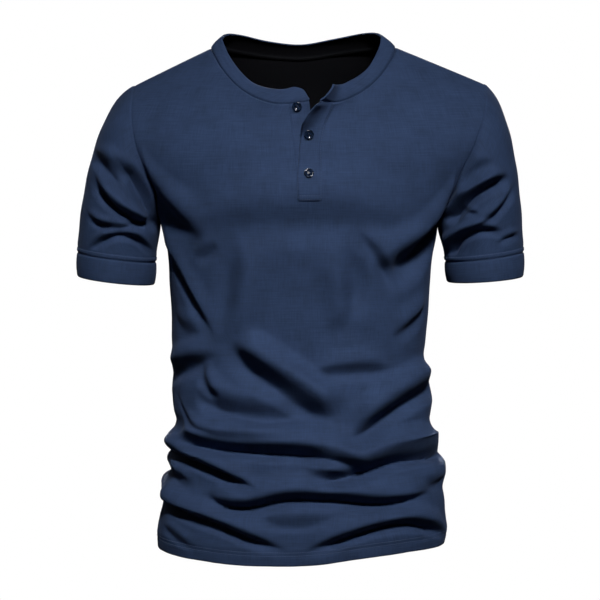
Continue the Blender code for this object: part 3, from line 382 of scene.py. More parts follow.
# Sleeves: where the cuff's seam lies, and how the cloth leaves the armhole and meets the cuff
Cuff = namedtuple("Cuff", "outer_x inner_x outer_z inner_z middle_y half_depth")
CUFF_SEAM_LEFT = Cuff(-0.2783, -0.1810, -0.2580, -0.2710, -0.001, 0.057)
CUFF_EDGE_LEFT = Cuff(-0.2786, -0.1835, -0.2880, -0.2995, -0.001, 0.057)
CUFF_SEAM_RIGHT = Cuff(0.2770, 0.1797, -0.2578, -0.2702, -0.001, 0.057)
CUFF_EDGE_RIGHT = Cuff(0.2768, 0.1828, -0.2885, -0.2962, -0.001, 0.057)
Pull = namedtuple("Pull", "outer inner forward")
LEAVE_LEFT = Pull((0.150, -0.075), (0.004, -0.045), 0.040)
LEAVE_RIGHT = Pull((0.120, -0.095), (0.004, -0.045), 0.040)
ARRIVE = Pull((0.010, -0.190), (0.006, -0.048), 0.0)

# Buttons: where each one sits on the front view, on which piece, and how far it is turned
Button = namedtuple("Button", "x z on turned")
BUTTONS = (
    Button(-0.0048, -0.0806, "placket_under", 20),
    Button(0.0092, -0.1137, "placket_top", 48),
    Button(0.0092, -0.1590, "placket_top", 5),
)
# A button's profile from the middle of its underside round its rim to its dish, as shares of radius and thickness
BUTTON_PROFILE = (
    (0.0, 0.02), (0.70, 0.0), (0.90, 0.10), (0.985, 0.30), (1.0, 0.52), (0.985, 0.76), (0.93, 0.95), (0.86, 1.0),
    (0.79, 0.95), (0.72, 0.80), (0.64, 0.64), (0.54, 0.52), (0.40, 0.43), (0.22, 0.38), (0.0, 0.36),
)
HOLE_RADIUS = 0.00078
HOLE_FROM_MIDDLE = 0.00165
BAR_HEIGHT = 0.40
BAR_SPACING = 0.00022

# The cut of each piece before it is sewn: width and length of the cloth, and the share of that oblong it fills
Cut = namedtuple("Cut", "width length share")

# Knit: how far its loops slant, how often its streaks, rows and cloudy dye change along the cloth in each metre, and
# how much the yarns, the dye and the loops add to the mask; the loops' part is painted shade, lighter on them, darker
# between them
LOOP_SLANT = 1.5
STREAKS = (900.0, 45.0, 0.0)
YARN_ROWS = (30.0, 700.0, 0.0)
CLOUDS = 38.0
YARN_SHARE = 0.9
CLOUD_SHARE = 0.9
LOOP_PAINTED_SHADE = 0.02
MASK_START = -0.85
LOOP_DEPTH = 0.00025

# Lights: the height each one aims at, where it stands round the shirt, its size, which power it has, and its beam
Lamp = namedtuple("Lamp", "name aim_z azimuth elevation distance size power spread")
LAMPS = (
    Lamp("key", -0.40, 9, 40, 5.0, 0.9, "key", 14),
    Lamp("fill", -0.33, -48, 14, 2.8, 2.0, "fill", 180),
    Lamp("back", -0.40, 176, 30, 5.0, 0.9, "back", 14),
    Lamp("behind_right", -0.33, 138, 22, 2.6, 1.6, "behind", 180),
    Lamp("behind_left", -0.33, -138, 22, 2.6, 1.6, "behind", 180),
)

# The photo's view
CAMERA_DISTANCE = 2.25
CAMERA_ELEVATION = 5.0
CAMERA_AIM = (-0.00125, 0.0, -0.319)
CAMERA_LENS = 108.0
CAMERA_SENSOR = 36.0
FLOOR_HALF = 14.0


class ClothSettings(bpy.types.PropertyGroup):
    """Thickness of the cloth and depth of its seams."""

    jersey: bpy.props.FloatProperty(
        name="Jersey", description="Thickness of the single jersey", default=0.0011, unit="LENGTH")
    doubled: bpy.props.FloatProperty(
        name="Doubled", description="Thickness of the doubled neckband, cuffs and hem", default=0.0022, unit="LENGTH")
    hem_turn: bpy.props.FloatProperty(
        name="Hem turn", description="Height of the turned-up hem", default=0.019, unit="LENGTH")
    seam_dip: bpy.props.FloatProperty(
        name="Seam dip", description="How far the cloth rolls in at a seam", default=0.0010, unit="LENGTH")
    seam_width: bpy.props.FloatProperty(
        name="Seam width", description="How far from a seam the cloth starts to roll in", default=0.0014,
        unit="LENGTH")
    welt: bpy.props.FloatProperty(
        name="Welt", description="Height of the double line above each cuff", default=0.0050, unit="LENGTH")


class ColourSettings(bpy.types.PropertyGroup):
    """Colours of the cloth, thread and buttons."""

    jersey: bpy.props.FloatVectorProperty(
        name="Jersey", description="Colour of the jersey's face", default=(0.0235, 0.0430, 0.0990), size=3,
        subtype="COLOR")
    # Painted shade: the reverse is set near black, far darker than the jersey's own navy, for the shade within the
    # shirt and on the cloth's cut edges.
    inside: bpy.props.FloatVectorProperty(
        name="Inside", description="Colour of the jersey's reverse, as dark as the photo shows it",
        default=(0.0009, 0.0012, 0.0028), size=3, subtype="COLOR")
    thread: bpy.props.FloatVectorProperty(
        name="Thread", description="Colour of the sewing thread", default=(0.0400, 0.0640, 0.1300), size=3,
        subtype="COLOR")
    button: bpy.props.FloatVectorProperty(
        name="Button", description="Colour of the resin buttons", default=(0.0050, 0.0110, 0.0280), size=3,
        subtype="COLOR")


class SewingSettings(bpy.types.PropertyGroup):
    """Sizes of the stitches, the knit and the buttons."""

    stitch: bpy.props.FloatProperty(
        name="Stitch", description="Length of a stitch", default=0.0028, unit="LENGTH")
    thread_radius: bpy.props.FloatProperty(
        name="Thread radius", description="Radius of the sewing thread", default=0.00026, unit="LENGTH")
    twin_gap: bpy.props.FloatProperty(
        name="Twin gap", description="Distance between the two needles of the hem", default=0.0045, unit="LENGTH")
    wale: bpy.props.FloatProperty(
        name="Wale", description="Width of one column of knit stitches", default=0.0009, unit="LENGTH")
    course: bpy.props.FloatProperty(
        name="Course", description="Height of one row of knit stitches", default=0.0007, unit="LENGTH")
    button_radius: bpy.props.FloatProperty(
        name="Button radius", description="Radius of a button", default=0.0058, unit="LENGTH")
    button_thick: bpy.props.FloatProperty(
        name="Button thickness", description="Thickness of a button at its rim", default=0.0024, unit="LENGTH")


class StageSettings(bpy.types.PropertyGroup):
    """Studio: the lights and the floor."""

    key: bpy.props.FloatProperty(
        name="Key", description="Power of the main light, in front and above", default=3.2, unit="POWER")
    fill: bpy.props.FloatProperty(
        name="Fill", description="Power of the light on the other side", default=0.7, unit="POWER")
    back: bpy.props.FloatProperty(
        name="Back", description="Power of the light that shows the back", default=3.0, unit="POWER")
    behind: bpy.props.FloatProperty(
        name="Behind", description="Power of each light behind the sides", default=4.0, unit="POWER")
    ambient: bpy.props.FloatProperty(
        name="Ambient", description="Strength of the light from all round", default=0.009, min=0.0)
    floor_z: bpy.props.FloatProperty(
        name="Floor", description="Height of the floor under the shirt", default=-1.35, unit="LENGTH")


def cloth():
    """Settings of the cloth."""
    return bpy.context.scene.henley_cloth


def colours():
    """Settings of the colours."""
    return bpy.context.scene.henley_colours


def sewing():
    """Settings of the sewing."""
    return bpy.context.scene.henley_sewing


def stage():
    """Settings of the studio."""
    return bpy.context.scene.henley_stage


# ---------------------------------------------------------------------------------------------------- form

def column(table, name):
    """One named column of a table, as an array."""
    return np.array([getattr(row, name) for row in table])


def curve(places, values, at):
    """A smooth curve through a table's values, read at any places."""
    slopes = np.gradient(values, places, axis=0)
    at = np.clip(at, places[0], places[-1])
    k = np.clip(np.searchsorted(places, at, side="right") - 1, 0, len(places) - 2)
    step = places[k + 1] - places[k]
    t = (at - places[k]) / step
    start = (1 + 2 * t) * (1 - t) ** 2 * values[k] + t * (1 - t) ** 2 * step * slopes[k]
    end = t * t * (3 - 2 * t) * values[k + 1] + t * t * (t - 1) * step * slopes[k + 1]
    return start + end


def read(table, key, name, at):
    """A table's column as a smooth function of its key column."""
    return curve(column(table, key), column(table, name), np.asarray(at, dtype=float))


def neck_points(table, along, edge=""):
    """Points of the neck's seam, or with edge "top_" of the band's top."""
    return np.stack([read(table, "along", edge + axis, along) for axis in "xyz"], axis=-1)


def unit(vectors):
    """Vectors scaled to length one."""
    return vectors / np.maximum(np.linalg.norm(vectors, axis=-1, keepdims=True), 1e-12)


def smooth(share):
    """A rise from 0 to 1 that starts and ends level."""
    share = np.clip(share, 0.0, 1.0)
    return share * share * (3.0 - 2.0 * share)


def walked_along(points):
    """Distance along a line of points from the first one to each."""
    return np.concatenate([[0.0], np.cumsum(np.linalg.norm(np.diff(points, axis=0), axis=1))])


def normals(grid, outward=1.0, ring=False):
    """Directions square to a grid of points."""
    if ring:
        wrapped = np.concatenate([grid[:, -2:-1], grid, grid[:, 1:2]], axis=1)
        across = (wrapped[:, 2:] - wrapped[:, :-2]) / 2
    else:
        across = np.gradient(grid, axis=1)
    return unit(np.cross(across, np.gradient(grid, axis=0))) * outward


def places_with_ends(count, near):
    """Places from 0 to 1: count even steps, and closer ones at both ends, near giving their distances."""
    near = np.array(near)
    return np.unique(np.round(np.concatenate([np.linspace(0.0, 1.0, count + 1), near, 1.0 - near]), 6))


def crease_height(u, v, line, crease):
    """Height that a crease adds at points (u, v), all in metres, with its line in the same coordinates."""
    line = np.array(line, dtype=float)
    chord = line[-1] - line[0]
    length = np.linalg.norm(chord)
    ahead = chord / length
    aside = np.array([-ahead[1], ahead[0]])
    along = (u - line[0, 0]) * ahead[0] + (v - line[0, 1]) * ahead[1]
    away = (u - line[0, 0]) * aside[0] + (v - line[0, 1]) * aside[1]
    knots = (line - line[0]) @ ahead
    bends = (line - line[0]) @ aside
    middle = curve(knots, bends, along)
    lean = (curve(knots, bends, along + 1e-4) - curve(knots, bends, along - 1e-4)) / 2e-4
    offset = (away - middle) / np.sqrt(1.0 + lean ** 2)
    share = along / length
    fade = smooth(share / crease.fade_in) * smooth((1.0 - share) / crease.fade_out)
    half = crease.half * (CREASE_END + (1.0 - CREASE_END) * fade)
    step = np.clip((offset + half) / (2 * half), 0.0, 1.0)
    step = (1 - crease.sharp) * smooth(step) + crease.sharp * np.sin(step * math.pi / 2)
    inner = -crease.hollow + (crease.crest + crease.hollow) * step
    upper = crease.crest * np.cos(math.pi / 2 * np.clip((offset - half) / (crease.above - half), 0.0, 1.0)) ** 2
    lower = -crease.hollow * np.cos(math.pi / 2 * np.clip((-offset - half) / (crease.below - half), 0.0, 1.0)) ** 2
    height = np.where(offset > half, upper, np.where(offset < -half, lower, inner))
    return np.where((share > 0.0) & (share < 1.0), height * fade, 0.0)


def turns(panel, side):
    """Turn of each point of a panel, in degrees."""
    z = panel[..., 2]
    width = np.where(panel[..., 0] < 0, read(SECTIONS, "z", "left", z), read(SECTIONS, "z", "right", z))
    turn = np.degrees(np.arcsin(np.clip(panel[..., 0] / width, -1.0, 1.0)))
    return turn if side == FRONT else 180.0 - turn


def ripple(turn, z):
    """Slight unevenness of the draped cloth, stronger where it bunches."""
    a = np.radians(turn)
    waves = sum(w.height * np.sin(w.round * a + w.up * z + w.start)
                * np.sin(w.round_too * a + w.up_too * z + w.start_too) for w in WAVES)
    low = smooth((-0.33 - z) / 0.12)
    return waves * (0.55 + 0.9 * low)


def body_height(turn, z):
    """How far the creases raise the body's cloth."""
    height = ripple(turn, z)
    for crease in BUNCHED + DRAPED + BEHIND:
        middle = (crease.line[0][0] + crease.line[-1][0]) / 2
        u = np.radians((turn - middle + 180.0) % 360.0 - 180.0) * BODY_RADIUS
        line = [(math.radians(t - middle) * BODY_RADIUS, height_z) for t, height_z in crease.line]
        height = height + crease_height(u, z, line, crease)
    return height


def calm(panel):
    """Share of the creases that a panel keeps: less on its sides, and none at its neck and shoulder seams."""
    to_side = np.minimum(lengths_from(panel, 1, False), lengths_from(panel, 1, True))
    share = 1.0 - SIDE_CALM * np.exp(-(to_side / SIDE_REACH) ** 2)
    return share * smooth(lengths_from(panel, 0, True) / TOP_REACH)


def rises():
    """Heights of the rows above the armpit, as shares of each strip's own height."""
    slit = (SLIT_Z - ARMPIT_Z) / (NECK_FRONT_Z - ARMPIT_Z)
    low = np.linspace(0.0, slit, ROWS_TO_SLIT)
    eased = 1.0 - (1.0 - np.linspace(0.0, 1.0, ROWS_TO_SHOULDER + 1)) ** 1.5
    return np.concatenate([low[:-1], slit + (1.0 - slit) * eased])


def under_arm_heights():
    """Heights of the rows from the hem to the armpit, closest at the hem and where the cloth bunches."""
    hem = HEM_Z + np.array([0.0, 0.0005, 0.0012, 0.0024, 0.0040])
    bunched = np.linspace(HEM_Z + 0.0056, BUNCHED_TOP_Z, ROWS_BUNCHED)
    draped = np.linspace(BUNCHED_TOP_Z, ARMPIT_Z, ROWS_DRAPED)[1:]
    return np.concatenate([hem, bunched, draped])


def column_places(strips_neck):
    """Places of half a panel's columns, counted in strips from its inner edge."""
    strips = strips_neck + STRIPS_SHOULDER
    even = np.linspace(0.0, strips, strips * COLUMNS + 1)
    near = np.array([0.03, 0.07, 0.12])
    return np.unique(np.round(np.concatenate([even, strips - near]), 5))


def strip_tops(shoulder_tip, neck_table, neck_start, neck_end, strips_neck):
    """Top ends of a side's columns: along the neck from the middle, then out along the shoulder seam."""
    places = column_places(strips_neck)
    on_neck = np.clip(places / strips_neck, 0.0, 1.0)
    neck = neck_points(neck_table, neck_start + (neck_end - neck_start) * on_neck)
    out = np.clip((places - strips_neck) / STRIPS_SHOULDER, 0.0, 1.0)[:, None]
    return neck + (np.array(shoulder_tip) - neck_points(neck_table, neck_end)) * out


def side_strips(sign, side, tops, strips_neck, inner_edge):
    """Half of a panel: columns from its inner edge (first) to its side seam and armhole (last)."""
    share = column_places(strips_neck) / (strips_neck + STRIPS_SHOULDER)
    half = "left" if sign < 0 else "right"
    depth = "front" if side == FRONT else "back"
    rows = []
    for z in under_arm_heights():
        width = float(read(SECTIONS, "z", half, z))
        start = sign * inner_edge(z) / width
        reach = start + (1.0 - start) * np.sin(share * math.pi / 2)
        bow = np.clip(1.0 - np.abs(reach) ** SQUARENESS, 0.0, 1.0) ** (1.0 / SQUARENESS)
        y = side * float(read(SECTIONS, "z", depth, z)) * bow
        rows.append(np.stack([sign * width * reach, y, np.full_like(y, z)], axis=-1))
    for rise in rises()[1:]:
        z = ARMPIT_Z + (tops[:, 2] - ARMPIT_Z) * rise
        edge_x = float(read(ARMHOLE, "rise", half, rise))
        edge_y = side * float(read(ARMHOLE, "rise", depth, rise))
        opened = min(1.0, rise / YOKE_FROM)
        power = SQUARENESS + (YOKE_SQUARENESS - SQUARENESS) * opened * (2 - opened)
        start = sign * inner_edge(z[0]) / edge_x
        even = share + (np.sin(share * math.pi / 2) - share) * (1 - opened) ** 1.5
        reach = start + (1.0 - start) * even
        level_x = sign * edge_x * reach
        x = level_x + (tops[:, 0] - level_x) * rise ** 2
        x = x + (inner_edge(z[0]) - x[0]) * (1.0 - share) ** 4
        bow = np.clip(1.0 - np.clip(reach, 0.0, 1.0) ** SQUARENESS, 0.0, 1.0) ** (1.0 / power)
        section_y = edge_y + (side * read(SECTIONS, "z", depth, z) - edge_y) * bow
        y = tops[:, 1] + (section_y - tops[:, 1]) * (1.0 - min(rise, 1.0) ** SHOULDER_ROUND) ** 0.5
        y = y + (edge_y - y[-1]) * share ** 8
        rows.append(np.stack([x, y, z], axis=-1))
    return np.array(rows)


def hung(grid, side):
    """A panel whose hem hangs higher where the shirt is drawn up."""
    near = np.clip(1.0 - (grid[..., 2] - HEM_Z) / HEM_HANG_REACH, 0.0, 1.0)
    lift = read(HEM_HANG, "turn", "lift", turns(grid, side)) * smooth(near)
    return grid + lift[..., None] * np.array([0.0, 0.0, 1.0])


def front_panel():
    """The front's outer points before it is creased, columns from the left of the picture to the right."""
    halves = []
    for sign, tip, table, name in ((-1.0, TIP_LEFT, NECK_LEFT, "left"), (1.0, TIP_RIGHT, NECK_RIGHT, "right")):
        tops = strip_tops(tip, table, BODY_SHARE, 0.0, STRIPS_NECK)
        halves.append(side_strips(sign, FRONT, tops, STRIPS_NECK,
                                  lambda z, name=name: float(read(SLIT, "z", name, z))))
    left, right = halves
    across = np.linspace(0.0, 1.0, COLUMNS_SLIT + 1)[1:-1, None]
    middle = left[:, :1] + (right[:, :1] - left[:, :1]) * across
    return hung(np.concatenate([left[:, ::-1], middle, right], axis=1), FRONT)


def back_panel():
    """The back's outer points before it is creased, columns from the right of the picture to the left."""
    right = side_strips(1.0, BACK, strip_tops(TIP_RIGHT, NECK_BACK, 0.5, 0.0, STRIPS_NECK_BACK), STRIPS_NECK_BACK,
                        lambda z: 0.0)
    left = side_strips(-1.0, BACK, strip_tops(TIP_LEFT, NECK_BACK, 0.5, 1.0, STRIPS_NECK_BACK), STRIPS_NECK_BACK,
                       lambda z: 0.0)
    return hung(np.concatenate([right[:, ::-1], left[:, 1:]], axis=1), BACK)


def panel_normals(panel, other, rows):
    """Directions outwards of a panel, taking its neighbour's columns into account along the side seams."""
    first = 2 * panel[:, :1] - panel[:, 1:2]
    last = 2 * panel[:, -1:] - panel[:, -2:-1]
    first[:rows] = other[:rows, -2:-1]
    last[:rows] = other[:rows, 1:2]
    wide = np.concatenate([first, panel, last], axis=1)
    across = (wide[:, 2:] - wide[:, :-2]) / 2
    return unit(np.cross(across, np.gradient(panel, axis=0)))


def share_directions(front, back, rows):
    """Give the front and back the same directions along their side seams."""
    for here, there in ((0, -1), (-1, 0)):
        shared = unit(front[:rows, here] + back[:rows, there])
        front[:rows, here] = shared
        back[:rows, there] = shared


def lengths_from(points, axis, end):
    """Distance of each point of a grid from one of its edges, measured along the cloth."""
    steps = np.linalg.norm(np.diff(points, axis=axis), axis=-1)
    if end:
        steps = np.flip(steps, axis)
    walked = np.cumsum(steps, axis=axis)
    walked = np.concatenate([np.zeros_like(np.take(walked, [0], axis=axis)), walked], axis=axis)
    return np.flip(walked, axis) if end else walked


def roll(distance, depth=1.0, width=1.0):
    """How far cloth rolls in at a distance from its seam."""
    return -cloth().seam_dip * depth * np.exp(-(distance / (cloth().seam_width * width)) ** 2)


class Piece:
    """A piece of cloth: its name, grid of outer points, directions outwards and thickness.

    A ring closes on itself. On the front and back the rows of knit stitches run level.
    """

    def __init__(self, name, grid, square, thick, ring=False):
        self.name = name
        self.grid = grid
        self.square = square
        self.thick = np.full(grid.shape[:2], thick)
        self.ring = ring
        self.level = name in ("front", "back")

    def lift(self, height):
        """Raise the cloth by a height at each point."""
        self.grid = self.grid + self.square * height[..., None]

    def turn_in(self, beyond, depth):
        """Add a first row behind the neighbour, as the seam's allowance lies."""
        row = self.grid[0] + beyond - self.square[0] * depth
        self.grid = np.concatenate([row[None], self.grid])
        self.square = np.concatenate([self.square[:1], self.square])
        self.thick = np.concatenate([np.full_like(self.thick[:1], ALLOWANCE_THICK), self.thick])


def cuff_ring(cuff, around):
    """A ring of the sleeve's end, from the armpit round the front: around goes from 0 to 1."""
    angle = 2 * math.pi * around
    inward = (1 + np.cos(angle)) / 2
    x = cuff.outer_x + (cuff.inner_x - cuff.outer_x) * inward
    z = cuff.outer_z + (cuff.inner_z - cuff.outer_z) * inward
    return np.stack([x, cuff.middle_y - cuff.half_depth * np.sin(angle), z], axis=-1)


def pulls(pull, around, sign):
    """Directions of the sleeve's cloth round a ring."""
    angle = 2 * math.pi * around
    outward = (1 - np.cos(angle))[:, None] / 2
    flat = np.array(pull.inner) + (np.array(pull.outer) - np.array(pull.inner)) * outward
    return np.stack([sign * flat[:, 0], -pull.forward * np.sin(angle), flat[:, 1]], axis=-1)


def around_armhole(loop):
    """How far round the armhole each of its points lies, from 0 to 1, with the shoulder tip at one half."""
    walked = walked_along(loop)
    tip = len(loop) // 2
    front = walked[:tip + 1] / walked[tip] / 2
    back = 0.5 + (walked[tip + 1:] - walked[tip]) / (walked[-1] - walked[tip]) / 2
    return np.concatenate([front, back])


def sleeve_piece(half, loop, leaving, seam, sign):
    """A sleeve, rows from the armhole to the cuff's seam."""
    around = around_armhole(loop)
    end = cuff_ring(seam, around)
    leave = pulls(leaving, around, sign)
    arrive = pulls(ARRIVE, around, sign)
    along = places_with_ends(ROWS_SLEEVE, NEAR_SLEEVE_ENDS) ** 1.1
    rows = []
    for t in along:
        start_part = (1 + 2 * t) * (1 - t) ** 2 * loop + t * (1 - t) ** 2 * leave
        rows.append(start_part + t * t * (3 - 2 * t) * end + t * t * (t - 1) * arrive)
    grid = np.array(rows)
    square = normals(grid, -sign, True)
    piece = Piece(f"sleeve_{half}", grid, square, cloth().jersey, True)
    from_top = lengths_from(grid, 0, False)
    from_cuff = lengths_from(grid, 0, True)
    free = smooth(from_top / 0.014) * smooth((from_cuff - cloth().welt) / 0.008)
    height = np.zeros(grid.shape[:2])
    for side, creases in ((FRONT, SLEEVES_FRONT), (BACK, SLEEVES_BACK)):
        facing = smooth(square[..., 1] * side / 0.5)
        for crease in creases:
            height = height + crease_height(grid[..., 0], grid[..., 2], crease.line, crease) * facing
    angle = 2 * math.pi * around
    waves = np.sin(4 * angle + 55 * grid[..., 2]) * np.sin(3 * angle - 80 * grid[..., 2])
    piece.lift((height + SLEEVE_WAVE * waves) * free)
    piece.square = normals(piece.grid, -sign, True)
    welt = 0.0007 * smooth((cloth().welt + 0.0012 - from_cuff) / 0.0012) - 0.0004 * np.exp(
        -((from_cuff - cloth().welt - 0.0010) / 0.0009) ** 2)
    piece.lift(roll(from_top, ARMHOLE_DIP) + welt + roll(from_cuff, 1.3))
    piece.turn_in(unit(piece.grid[0] - piece.grid[2]) * ALLOWANCE, ALLOWANCE_DEPTH)
    return piece


def cuff_piece(half, seam, edge, around, sign):
    """A cuff, rows from its seam down to its free edge, with a slight belly and a rounded edge."""
    top = cuff_ring(seam, around)
    bottom = cuff_ring(edge, around)
    out = unit((top - top.mean(axis=0)) * np.array([1.0, 1.0, 0.0]))
    angle = 2 * math.pi * around
    rows = []
    for t in places_with_ends(ROWS_CUFF, NEAR_CUFF_ENDS):
        belly = 0.0012 * math.sin(math.pi * t)
        sway = 0.0006 * np.sin(3 * angle + 0.8) * t
        rows.append(top + (bottom - top) * t + out * (0.0003 + belly + sway)[:, None])
    grid = np.array(rows)
    piece = Piece(f"cuff_{half}", grid, normals(grid, -sign, True), cloth().doubled, True)
    from_top = lengths_from(grid, 0, False)
    from_edge = lengths_from(grid, 0, True)
    piece.lift(roll(from_top, 1.5) + roll(from_edge, 0.9, 0.8))
    piece.turn_in(unit(piece.grid[0] - piece.grid[2]) * ALLOWANCE, ALLOWANCE_DEPTH)
    return piece


def neck_seam(front, back):
    """The seam of the neckband, from its left end round the back to its open right end, and its top edge."""
    slit = len(column_places(STRIPS_NECK)) - 1
    front_places = column_places(STRIPS_NECK)
    front_places = front_places[front_places <= STRIPS_NECK]
    on_front = len(front_places)
    back_places = column_places(STRIPS_NECK_BACK)
    middle = len(back_places) - 1
    back_places = back_places[back_places <= STRIPS_NECK_BACK]
    on_back = len(back_places)
    front_share = BODY_SHARE * (1.0 - front_places / STRIPS_NECK)
    half_share = 0.5 * back_places / STRIPS_NECK_BACK
    back_share = np.concatenate([0.5 + half_share[::-1], 0.5 - half_share[1:]])[1:-1]
    end_share = np.linspace(1.0, BODY_SHARE, 16)[:-1]
    low = [
        neck_points(NECK_LEFT, end_share),
        front.grid[-1, slit - on_front + 1:slit + 1][::-1],
        back.grid[-1, middle - on_back + 2:middle + on_back - 1][::-1],
        front.grid[-1, slit + COLUMNS_SLIT:slit + COLUMNS_SLIT + on_front][::-1],
        neck_points(NECK_RIGHT, end_share[::-1]),
    ]
    high = [
        neck_points(NECK_LEFT, np.concatenate([end_share, front_share]), "top_"),
        neck_points(NECK_BACK, back_share, "top_"),
        neck_points(NECK_RIGHT, np.concatenate([front_share[::-1], end_share[::-1]]), "top_"),
    ]
    return np.concatenate(low), np.concatenate(high)


def band_piece(front, back):
    """The neckband, with its lower edge turned in behind the seam."""
    low, high = neck_seam(front, back)
    along = places_with_ends(ROWS_BAND, NEAR_BAND_EDGES)
    grid = np.array([low + (high - low) * t for t in along])
    square = normals(grid, -1.0)
    piece = Piece("neckband", grid, square, cloth().doubled)
    piece.lift((0.0014 * np.sin(math.pi * along))[:, None] * np.ones(grid.shape[1]))
    piece.square = normals(piece.grid, -1.0)
    from_seam = lengths_from(grid, 0, False)
    from_top = lengths_from(grid, 0, True)
    piece.lift(roll(from_seam, 1.4) + roll(from_top, 0.9, 0.8))
    piece.turn_in((low - high) * BAND_ALLOWANCE, BAND_ALLOWANCE_DEPTH)
    return piece


def depths_on(panel, xs, z):
    """Depths of a panel's outer side at points of one height of the front view."""
    at_x = [np.interp(z, strip[:, 2], strip[:, 0]) for strip in panel.transpose(1, 0, 2)]
    at_y = [np.interp(z, strip[:, 2], strip[:, 1]) for strip in panel.transpose(1, 0, 2)]
    return np.interp(xs, at_x, at_y)


def under_placket_piece(front):
    """The lower placket, flush in the slit."""
    across = places_with_ends(COLUMNS_PLACKET, NEAR_PLACKET_SIDES)
    rows = []
    for z in np.linspace(SLIT_Z, NECK_FRONT_Z, ROWS_PLACKET):
        left = float(read(SLIT, "z", "left", z)) - 0.0002
        right = float(read(UNDER_EDGE, "z", "x", z))
        xs = left + (right - left) * across
        rows.append(np.stack([xs, depths_on(front.grid, xs, z), np.full_like(xs, z)], axis=-1))
    grid = np.array(rows)
    shares = BODY_SHARE + (1.0 - BODY_SHARE) * across
    ease = smooth((grid[:, :1, 2] - NECK_FRONT_Z + 0.012) / 0.012)[..., None]
    grid = grid + (neck_points(NECK_LEFT, shares) - grid[-1]) * ease
    piece = Piece("placket_under", grid, normals(grid), cloth().jersey)
    from_left = lengths_from(grid, 1, False)
    from_top = lengths_from(grid, 0, True)
    piece.lift(0.0002 + roll(from_left, 0.7) + roll(from_top, 1.0))
    return piece


def top_placket_piece(front):
    """The upper placket, on the front and its lower placket, its open corner turned outwards."""
    rows = []
    across = places_with_ends(COLUMNS_PLACKET, NEAR_PLACKET_SIDES)
    for along in places_with_ends(ROWS_PLACKET, NEAR_PLACKET_ENDS):
        at = {name: float(read(FLAP, "along", name, along)) for name in Flap._fields[1:]}
        x = at["left_x"] + (at["right_x"] - at["left_x"]) * across
        z = at["left_z"] + (at["right_z"] - at["left_z"]) * across
        turned = at["left_lift"] + FLAP_TURN * smooth((along - 0.62) / 0.18) * smooth((1.0 - along) / 0.06)
        lift = at["right_lift"] + (turned - at["right_lift"]) * (1 - across) ** FLAP_FALL
        y = np.array([float(depths_on(front.grid, px, pz)) for px, pz in zip(x, z)])
        rows.append(np.stack([x, y - cloth().jersey - PLACKET_STANDS_OFF - lift, z], axis=-1))
    grid = np.array(rows)
    piece = Piece("placket_top", grid, normals(grid), cloth().jersey)
    bottom, top, left, right = (lengths_from(grid, axis, end) for axis in (0, 1) for end in (False, True))
    grooves = [(left - PLACKET_STITCHED_LEFT, 0.0009), (right - PLACKET_STITCHED_RIGHT, 0.00035)]
    grooves += [(bottom - line, 0.00035) for line in PLACKET_STITCHED_FOOT]
    groove = sum(-depth * np.exp(-(distance / 0.0008) ** 2) for distance, depth in grooves)
    piece.lift(groove + roll(left, 0.8, 0.7) + roll(right, 0.9) + roll(bottom, 0.9) + roll(top, 0.9))
    return piece


@functools.lru_cache(maxsize=1)
def shirt():
    """Every piece of cloth by name."""
    under = len(under_arm_heights())
    front_flat, back_flat = front_panel(), back_panel()
    front_square = panel_normals(front_flat, back_flat, under)
    back_square = panel_normals(back_flat, front_flat, under)
    front_height = body_height(turns(front_flat, FRONT), front_flat[..., 2]) * calm(front_flat)
    back_height = body_height(turns(back_flat, BACK), back_flat[..., 2]) * calm(back_flat)
    share_directions(front_square, back_square, under)
    for here, there in ((0, -1), (-1, 0)):
        height = (front_height[:under, here] + back_height[:under, there]) / 2
        front_height[:under, here] = height
        back_height[:under, there] = height
    front = Piece("front", front_flat, front_square, cloth().jersey)
    back = Piece("back", back_flat, back_square, cloth().jersey)
    front.lift(front_height)
    back.lift(back_height)
    front.square = panel_normals(front.grid, back.grid, under)
    back.square = panel_normals(back.grid, front.grid, under)
    share_directions(front.square, back.square, under)

    arm = slice(under - 1, None)
    loops = {
        "left": np.concatenate([front.grid[arm, 0], back.grid[arm, -1][::-1][1:]]),
        "right": np.concatenate([front.grid[arm, -1], back.grid[arm, 0][::-1][1:]]),
    }
    pieces = {"front": front, "back": back}
    ends = {
        "left": (LEAVE_LEFT, CUFF_SEAM_LEFT, CUFF_EDGE_LEFT, -1.0),
        "right": (LEAVE_RIGHT, CUFF_SEAM_RIGHT, CUFF_EDGE_RIGHT, 1.0),
    }
    for half, (leaving, seam, free, sign) in ends.items():
        for made in (sleeve_piece(half, loops[half], leaving, seam, sign),
                     cuff_piece(half, seam, free, around_armhole(loops[half]), sign)):
            pieces[made.name] = made
    pieces["placket_under"] = under_placket_piece(front)
    pieces["placket_top"] = top_placket_piece(front)
    pieces["neckband"] = band_piece(front, back)
    sew_in(front)
    sew_in(back)
    return pieces


def sew_in(panel):
    """Roll a panel's edges in at its seams, and draw the hem in at its two lines of stitches."""
    from_top = lengths_from(panel.grid, 0, True)
    from_left = lengths_from(panel.grid, 1, False)
    from_right = lengths_from(panel.grid, 1, True)
    from_hem = lengths_from(panel.grid, 0, False)
    height = roll(from_top, 1.2) + roll(from_left, ARMHOLE_DIP) + roll(from_right, ARMHOLE_DIP)
    for line in hem_lines():
        height = height - 0.0008 * np.exp(-((from_hem - line) / 0.0011) ** 2)
    height = height - 0.0008 * np.exp(-(from_hem / 0.0010) ** 2)
    height = height - HEM_TUCK * np.clip(1.0 - from_hem / cloth().hem_turn, 0.0, 1.0)
    panel.lift(height)
    panel.thick[from_hem < cloth().hem_turn] = cloth().doubled


def hem_lines():
    """How far above the hem's edge its two lines of stitches run."""
    upper = cloth().hem_turn - HEM_ROW_DROP
    return upper, upper - sewing().twin_gap


# ------------------------------------------------------------------------------------------------- meshes

def mesh_from(form, name):
    """A mesh from a bmesh, which is then freed."""
    mesh = bpy.data.meshes.new(name)
    form.to_mesh(mesh)
    form.free()
    return mesh


